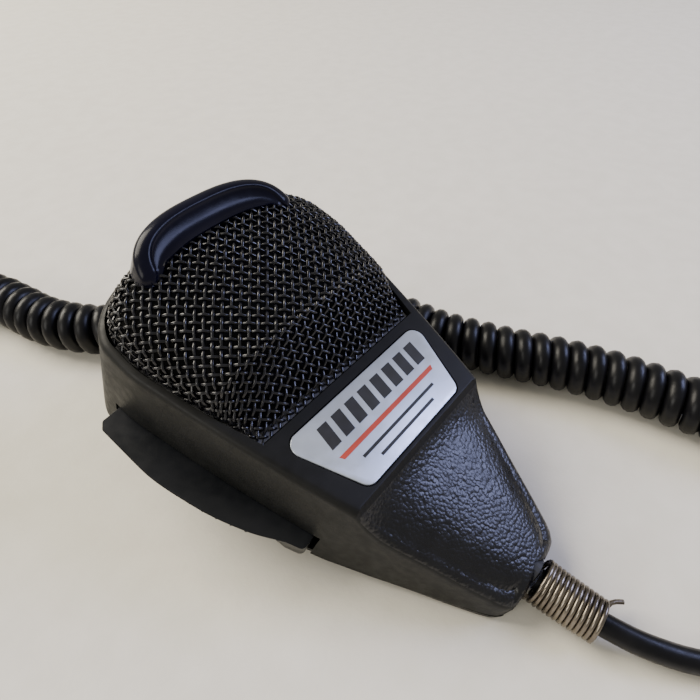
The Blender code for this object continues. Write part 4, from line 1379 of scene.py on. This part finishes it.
@dataclass
class Lever:
    """Push-to-talk lever on the left side."""

    where: Matrix
    depth: float = 9.1
    top: float = -17.6
    head: float = 34.0
    edge: tuple[Point, ...] = (
        (-11.0, -28.4, -26.6), (-4.2, -32.2, -27.4), (7.0, -36.1, -30.4), (19.9, -38.3, -32.2),
        (31.4, -38.4, -32.8))
    levels: int = 8
    cove: float = 1.7
    ribs: int = 12
    first_rib: float = -3.4
    rib_pitch: float = 2.95
    rib_ends: Plan = (0.07, 0.94)

    def coved(self, depth: float) -> float:
        """Find how far the outer face has receded.

        Args:
            depth: The place down the lever, 0 at its top face and 1 at its bottom.

        Returns:
            The share of the whole way, 0 to 1.
        """
        return 1.0 - (1.0 - depth) ** self.cove

    def outline(self, depth: float) -> list[Plan]:
        """Find the outline of the lever.

        Args:
            depth: The place down the lever, 0 at its top face and 1 at its bottom.

        Returns:
            The outline's points.
        """
        px, py, _ = PIVOT
        share = self.coved(depth)
        table = [(y, top + (bottom - top) * share) for y, top, bottom in self.edge]
        tip_y, tip_x = table[-1]
        corners = [(px + 2.6, py - 2.6, 2.2), (px + 2.6, py + 2.6, 2.2), (-25.6, -3.0, 1.0),
                   (-27.6, 24.0, 1.0), (-27.9, self.head, 0.6), (tip_x + 1.3, self.head - 0.6, 0.9),
                   (tip_x, tip_y + 0.3, 1.1)]
        corners += [(smooth_table(table, y), y, 0.1) for y in np.linspace(tip_y - 2.0, -9.0, 28)]
        corners += [(table[0][1], table[0][0], 2.0), (table[0][1] + 1.4, py - 4.0, 1.4)]
        return rounded_outline(corners, 1.0, 5)

    def rib(self, y: float) -> bpy.types.Object:
        """Make one thin upright rib across the hollow of the outer face.

        Args:
            y: Where the rib stands.

        Returns:
            The rib.
        """
        top_x = smooth_table([row[:2] for row in self.edge], y)
        run = smooth_table([row[::2] for row in self.edge], y) - top_x
        rib = Bench.block(Matrix.Scale(2.0, 4))
        for vertex in rib.data.vertices:
            across, along, over = vertex.co
            depth = self.rib_ends[0 if over > 0.0 else 1]
            outer = top_x - 0.1 + 0.76 * run * depth
            x = outer if across < 0.0 else top_x + 1.3 + run * self.coved(depth)
            vertex.co = (x, y + 0.2 * along - 0.25, self.top - self.depth * depth)
        Bench.rounded(rib, 0.12, 2)
        return rib

    def slot(self) -> bpy.types.Object:
        """Make the cutter for the lever's slot in the left wall.

        Returns:
            The cutter.
        """
        low = self.top - self.depth - 8.0
        outline = ((-45.0, -15.6), (-16.0, -15.6), (-16.0, -9.0), (-24.0, self.head + 0.8),
                   (-45.0, self.head + 0.8))
        return Bench.prism("lever_slot", outline, low, self.top + 0.6)

    def build(self) -> None:
        """Build the lever: a rounded bar with grip ribs on its receding outer face."""
        px, py, pz = PIVOT
        depths = [1.0 - n / self.levels for n in range(self.levels + 1)]
        lever = Bench.loft("ptt_lever_bar", [self.outline(depth) for depth in depths],
                           [self.top - self.depth * depth for depth in depths])
        Bench.rounded(lever, 0.8, 4, 50.0)
        for n in range(self.ribs):
            Bench.combine(lever, self.rib(self.first_rib + self.rib_pitch * n), "UNION")
        bore = Bench.rod("bore", 1.16, -8.0, 8.0)
        Bench.move(bore, (px, py, pz), (0.0, 0.0, 1.0))
        Bench.combine(lever, bore)
        window = Matrix.Translation((px + 0.7, py, pz)) @ Matrix.Diagonal((6.6, 8.0, 3.6, 1.0))
        Bench.combine(lever, Bench.block(window))
        Bench.hand_over(lever, self.where, "lever", "lever", Finishes.LEVER, ["ptt_lever"], 30.0)


# ---------------------------------------------------------------- cord and plug

@dataclass
class Cord:
    """The free cord: relief, lead, curly stretch and tail, and the spring round its first part."""

    where: Matrix
    radius: float = 2.35
    coil_radius: float = 7.5
    pitch: float = 4.85
    relief: tuple[Point, ...] = (
        (0.0, -53.0, -11.8), (0.0, -54.2, -11.7), (0.05, -57.2, -11.1), (0.1, -60.2, -10.4),
        (0.2, -63.2, -9.65), (0.3, -66.2, -8.9))
    lead: tuple[Point, ...] = (
        (2.7, -67.8, 4.6), (4.3, -75.2, 4.0), (8.8, -85.0, 2.9), (17.4, -96.2, 2.6),
        (29.7, -104.35, 2.6), (43.7, -109.35, 2.6), (57.2, -106.35, 3.2), (65.2, -97.85, 5.4),
        (67.7, -88.85, 7.6))
    coil: tuple[Plan, ...] = (
        (67.9, -87.35), (69.1, -75.85), (67.8, -62.85), (65.5, -47.25), (61.3, -32.15), (55.6, -16.85),
        (50.7, -0.35), (49.1, 15.15), (46.2, 32.15), (37.7, 49.15), (23.7, 61.65), (6.7, 69.15),
        (-6.3, 75.65), (-13.9, 86.15), (-18.1, 97.15), (-19.9, 109.15), (-22.3, 121.15), (-29.3, 132.15),
        (-40.3, 139.15), (-52.3, 141.15))
    coil_height: float = 7.6
    coil_ease: float = 9.0
    tail: tuple[Point, ...] = (
        (-53.7, 141.25, 7.6), (-63.3, 139.65, 5.2), (-74.3, 133.15, 2.8), (-82.8, 122.65, 2.8),
        (-87.1, 110.65, 5.6), (-88.7, 100.65, 9.2), (-88.9, 95.15, 9.8), (-88.9, 90.65, 9.8))
    spring_radius: float = 4.5
    spring_wire: float = 1.0
    spring_turns: float = 13.5

    def line(self) -> list[Vector]:
        """Lay the whole cord's centreline, in millimetres in the world.

        Returns:
            The centreline's points.
        """
        hand = [self.where @ (Vector(point) * MM) / MM for point in self.relief]
        first = smooth_points([*hand, *self.lead], 2.4)
        centre = smooth_points([(x, y, self.coil_height) for x, y in self.coil], 2.0)
        length = distances(centre)[-1]
        full = self.coil_radius - self.radius

        def reach(distance: float) -> float:
            """Find the radius of the winding, which grows from the axis and shrinks back to it.

            Args:
                distance: The distance along the coil.

            Returns:
                The radius.
            """
            near = min(1.0, distance / self.coil_ease, (length - distance) / self.coil_ease)
            return full * near * near * (3.0 - 2.0 * near)

        curls = wound(centre, reach, self.pitch, 20)
        last = smooth_points(self.tail, 2.4)
        return first[:-1] + curls + last[1:]

    def build(self, with_pieces: Sequence[bpy.types.Object]) -> None:
        """Args:
            with_pieces: The pieces on the cord's far end; not used.
        """
        line = self.line()
        cord = Bench.wires("microphone_cord", [[spot * MM for spot in line]], self.radius * MM, 4, False)
        cord.data.resolution_u = 1
        cord.data.splines[0].use_smooth = True
        cord.data.materials.append(Finishes.CORD.build())
        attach(cord, "hand_unit")
        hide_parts("cord_relief_core", "cord_lead", "curly_cord", "cord_tail")
        spring = self.build_spring()
        length = distances(line)[-1] * MM
        LOG.info("microphone_cord: %.3f m long, %d points", length, len(line))

    def build_spring(self) -> bpy.types.Object:
        """Wind the strain relief spring round the first part of the cord.

        Returns:
            The spring.
        """
        centre = smooth_points(self.relief, 0.7)
        length = distances(centre)[-1]

        def reach(distance: float) -> float:
            """Find the radius of the winding, slightly tapered.

            Args:
                distance: The distance along the spring.

            Returns:
                The radius.
            """
            return self.spring_radius - 0.5 * distance / length

        turns = wound(centre, reach, length / self.spring_turns, 36)
        tip = turns[-1]
        ahead = (centre[-1] - centre[-3]).normalized()
        out = (tip - centre[-1]).normalized()
        hook = [tip + out * (0.9 * n) + ahead * (0.25 * n * n) for n in range(1, 4)]
        spring = Bench.wires("strain_relief_coil", [turns + hook], self.spring_wire * 0.5, 3)
        return Bench.hand_over(spring, self.where, "hand_unit", "nickel", Finishes.SPRING,
                               ["strain_relief_spring"], 60.0)


@dataclass
class Plug:
    """Four-pin plug: its turned shell and its knurled coupling nut."""

    start: Point = (-88.9, 90.15, 9.8)
    axis: Point = (0.0, -1.0, 0.0)
    shell_radius: float = 7.9
    nut_radius: float = 9.6
    nut_length: float = 13.4
    nut_place: float = 26.6
    teeth: int = 48
    tooth: float = 0.16
    groove: float = 0.35

    def build(self) -> list[bpy.types.Object]:
        """Build the shell and the nut, and gather the CAD pieces of the plug.

        Returns:
            The pieces on the cord's end.
        """
        where = Matrix.Identity(4)
        radius = self.shell_radius
        grooved = radius - self.groove
        profile = ((3.0, 0.0), (4.2, 0.0), (4.6, 0.3), (5.0, 1.0), (6.2, 2.0), (7.1, 3.6), (radius, 6.0),
                   (radius, 8.4), (grooved, 8.8), (grooved, 9.6), (radius, 10.0), (radius, 22.4),
                   (grooved, 22.8), (grooved, 23.6), (radius, 24.0), (radius, 25.0),
                   (7.0, 26.0), (7.0, 37.6), (6.8, 38.0), (6.6, 38.0), (6.6, 12.0), (3.0, 7.0))
        shell = Bench.spun("plug_shell_turned", profile, 72)
        Bench.move(shell, self.start, self.axis)
        Bench.hand_over(shell, where, "hand_unit", "nickel", Finishes.NICKEL, ["plug_shell"])
        nut = self.build_nut()
        names = ["plug_insert", "cord_saddle", "saddle_screw_1", "saddle_screw_2"]
        names += [f"plug_contact_{number}" for number in range(1, 5)]
        return [shell, nut] + [frame["nodes"][name] for name in names]

    def build_nut(self) -> bpy.types.Object:
        """Build the coupling nut, with knurls between two plain bands.

        Returns:
            The nut.
        """
        length = self.nut_length
        outer = self.nut_radius
        grooved = outer - self.groove
        profile = [(7.4, 0.0), (8.8, 0.0), (9.2, 0.2), (outer, 0.8), (outer, 1.8), (grooved, 2.0),
                   (grooved, 2.5)]
        profile += [(outer, 2.7 + (length - 5.4) * n / 4.0) for n in range(5)]
        profile += [(grooved, length - 2.5), (grooved, length - 2.0), (outer, length - 1.8),
                    (outer, length - 0.8), (9.3, length - 0.2), (8.9, length), (8.0, length), (8.0, 2.0),
                    (7.4, 1.6)]
        nut = Bench.spun("coupling_nut_knurled", profile, self.teeth * 4)
        for vertex in nut.data.vertices:
            x, y, z = vertex.co
            radius = math.hypot(x, y)
            if radius > outer - 0.05 and 2.6 < z < length - 2.6:
                dip = self.tooth * (1.0 - math.cos(self.teeth * math.atan2(y, x)))
                vertex.co.x = x * (radius - dip) / radius
                vertex.co.y = y * (radius - dip) / radius
        base = Vector(self.start) + Vector(self.axis) * self.nut_place
        Bench.move(nut, tuple(base), self.axis)
        return Bench.hand_over(nut, Matrix.Identity(4), "nut", "nickel", Finishes.NICKEL,
                               ["coupling_nut"], 25.0)


# ---------------------------------------------------------------- studio

@dataclass(frozen=True)
class Lamp:
    """A square light: its place and the point that it faces in metres, its side and its watts."""

    name: str
    place: Point
    aim: Point
    size: float
    power: float
    colour: Point

    def hang(self) -> None:
        """Hang the light."""
        light = bpy.data.lights.new(self.name, "AREA")
        light.size = self.size
        light.energy = self.power
        light.color = self.colour
        holder = bpy.data.objects.new(self.name, light)
        bpy.context.scene.collection.objects.link(holder)
        holder.location = self.place
        toward = Vector(self.aim) - Vector(self.place)
        holder.rotation_euler = toward.to_track_quat("-Z", "Y").to_euler()


@dataclass
class Studio:
    """Floor, lights and camera."""

    eye: Point = (-58.34, -53.67, 115.33)
    right: Point = (0.62513, -0.78052, -0.00066)
    up: Point = (0.54061, 0.43236, 0.72167)
    lens: float = 28.08
    sensor: float = 36.0
    floor_size: float = 6.0
    floor: Finish = Finish("floor_pale", (0.77, 0.73, 0.63), (0.81, 0.77, 0.67), (0.85, 0.95),
                           Texture.SPARK, 1.2, 0.05, specular=0.15)
    lamps: tuple[Lamp, ...] = (
        Lamp("window", (0.75, -0.60, 0.70), (0.0, -0.02, 0.02), 0.5, 10.0, (0.50, 0.56, 1.0)),
        Lamp("lamp", (-0.25, 0.95, 0.85), (0.0, 0.10, 0.0), 0.8, 25.0, (1.0, 0.93, 0.80)),
        Lamp("side", (-0.95, 0.15, 0.60), (0.0, 0.0, 0.03), 0.5, 4.0, (1.0, 0.97, 0.90)))
    air: Point = (1.0, 0.97, 0.90)
    air_strength: float = 0.42

    def build(self) -> None:
        """Set the camera, the floor and the lights."""
        camera = bpy.data.cameras.new("camera")
        camera.lens = self.lens
        camera.sensor_width = self.sensor
        camera.clip_start = 0.005
        camera.clip_end = 20.0
        holder = bpy.data.objects.new("camera", camera)
        bpy.context.scene.collection.objects.link(holder)
        right = Vector(self.right)
        up = Vector(self.up)
        back = right.cross(up)
        turn = Matrix((right, up, back)).transposed().to_4x4()
        holder.matrix_world = Matrix.Translation(Vector(self.eye) * MM) @ turn
        bpy.context.scene.camera = holder
        self.build_floor()
        for lamp in self.lamps:
            lamp.hang()
        self.build_surroundings()

    def build_floor(self) -> None:
        """Lay the pale floor under everything."""
        Bench.clear()
        bpy.ops.mesh.primitive_plane_add(size=self.floor_size)
        floor = Bench.named("floor")
        floor.data.materials.append(self.floor.build())

    def build_surroundings(self) -> None:
        """Set the pale surroundings."""
        world = bpy.data.worlds.new("surroundings")
        world.use_nodes = True
        fill(world.node_tree, world.node_tree.nodes["Background"], {
            "Color": (*self.air, 1.0), "Strength": self.air_strength})
        bpy.context.scene.world = world


def dress_frame() -> None:
    """Give every CAD node that shows the finish of its slot."""
    slots = {part["node"]: part["material_slot"] for part in frame["record"]["subparts"]}
    for name, node in frame["nodes"].items():
        if not node.hide_render:
            node.data.materials.clear()
            node.data.materials.append(SLOT_FINISHES[slots[name]].build())


def main() -> None:
    """Build the microphone and its studio, piece by piece."""
    logging.basicConfig(level=logging.INFO, format="%(name)s: %(message)s")
    where = hand_frame()
    Studio().build()
    Cord(where).build(Plug().build())
    housing = Housing(where)
    head = Head(where, housing)
    nameplate = Nameplate(where)
    lever = Lever(where)
    gland = Bench.rod("gland_hole", 4.0, -10.0, 10.0, 40)
    Bench.move(gland, (0.0, -50.0, -11.8), (0.0, -1.0, 0.0))
    housing.build([head.opening(), nameplate.opening(), lever.slot(), gland])
    Fastenings(where, housing).build()
    head.build()
    nameplate.build()
    lever.build()
    dress_frame()


if __name__ == "__main__":
    main()
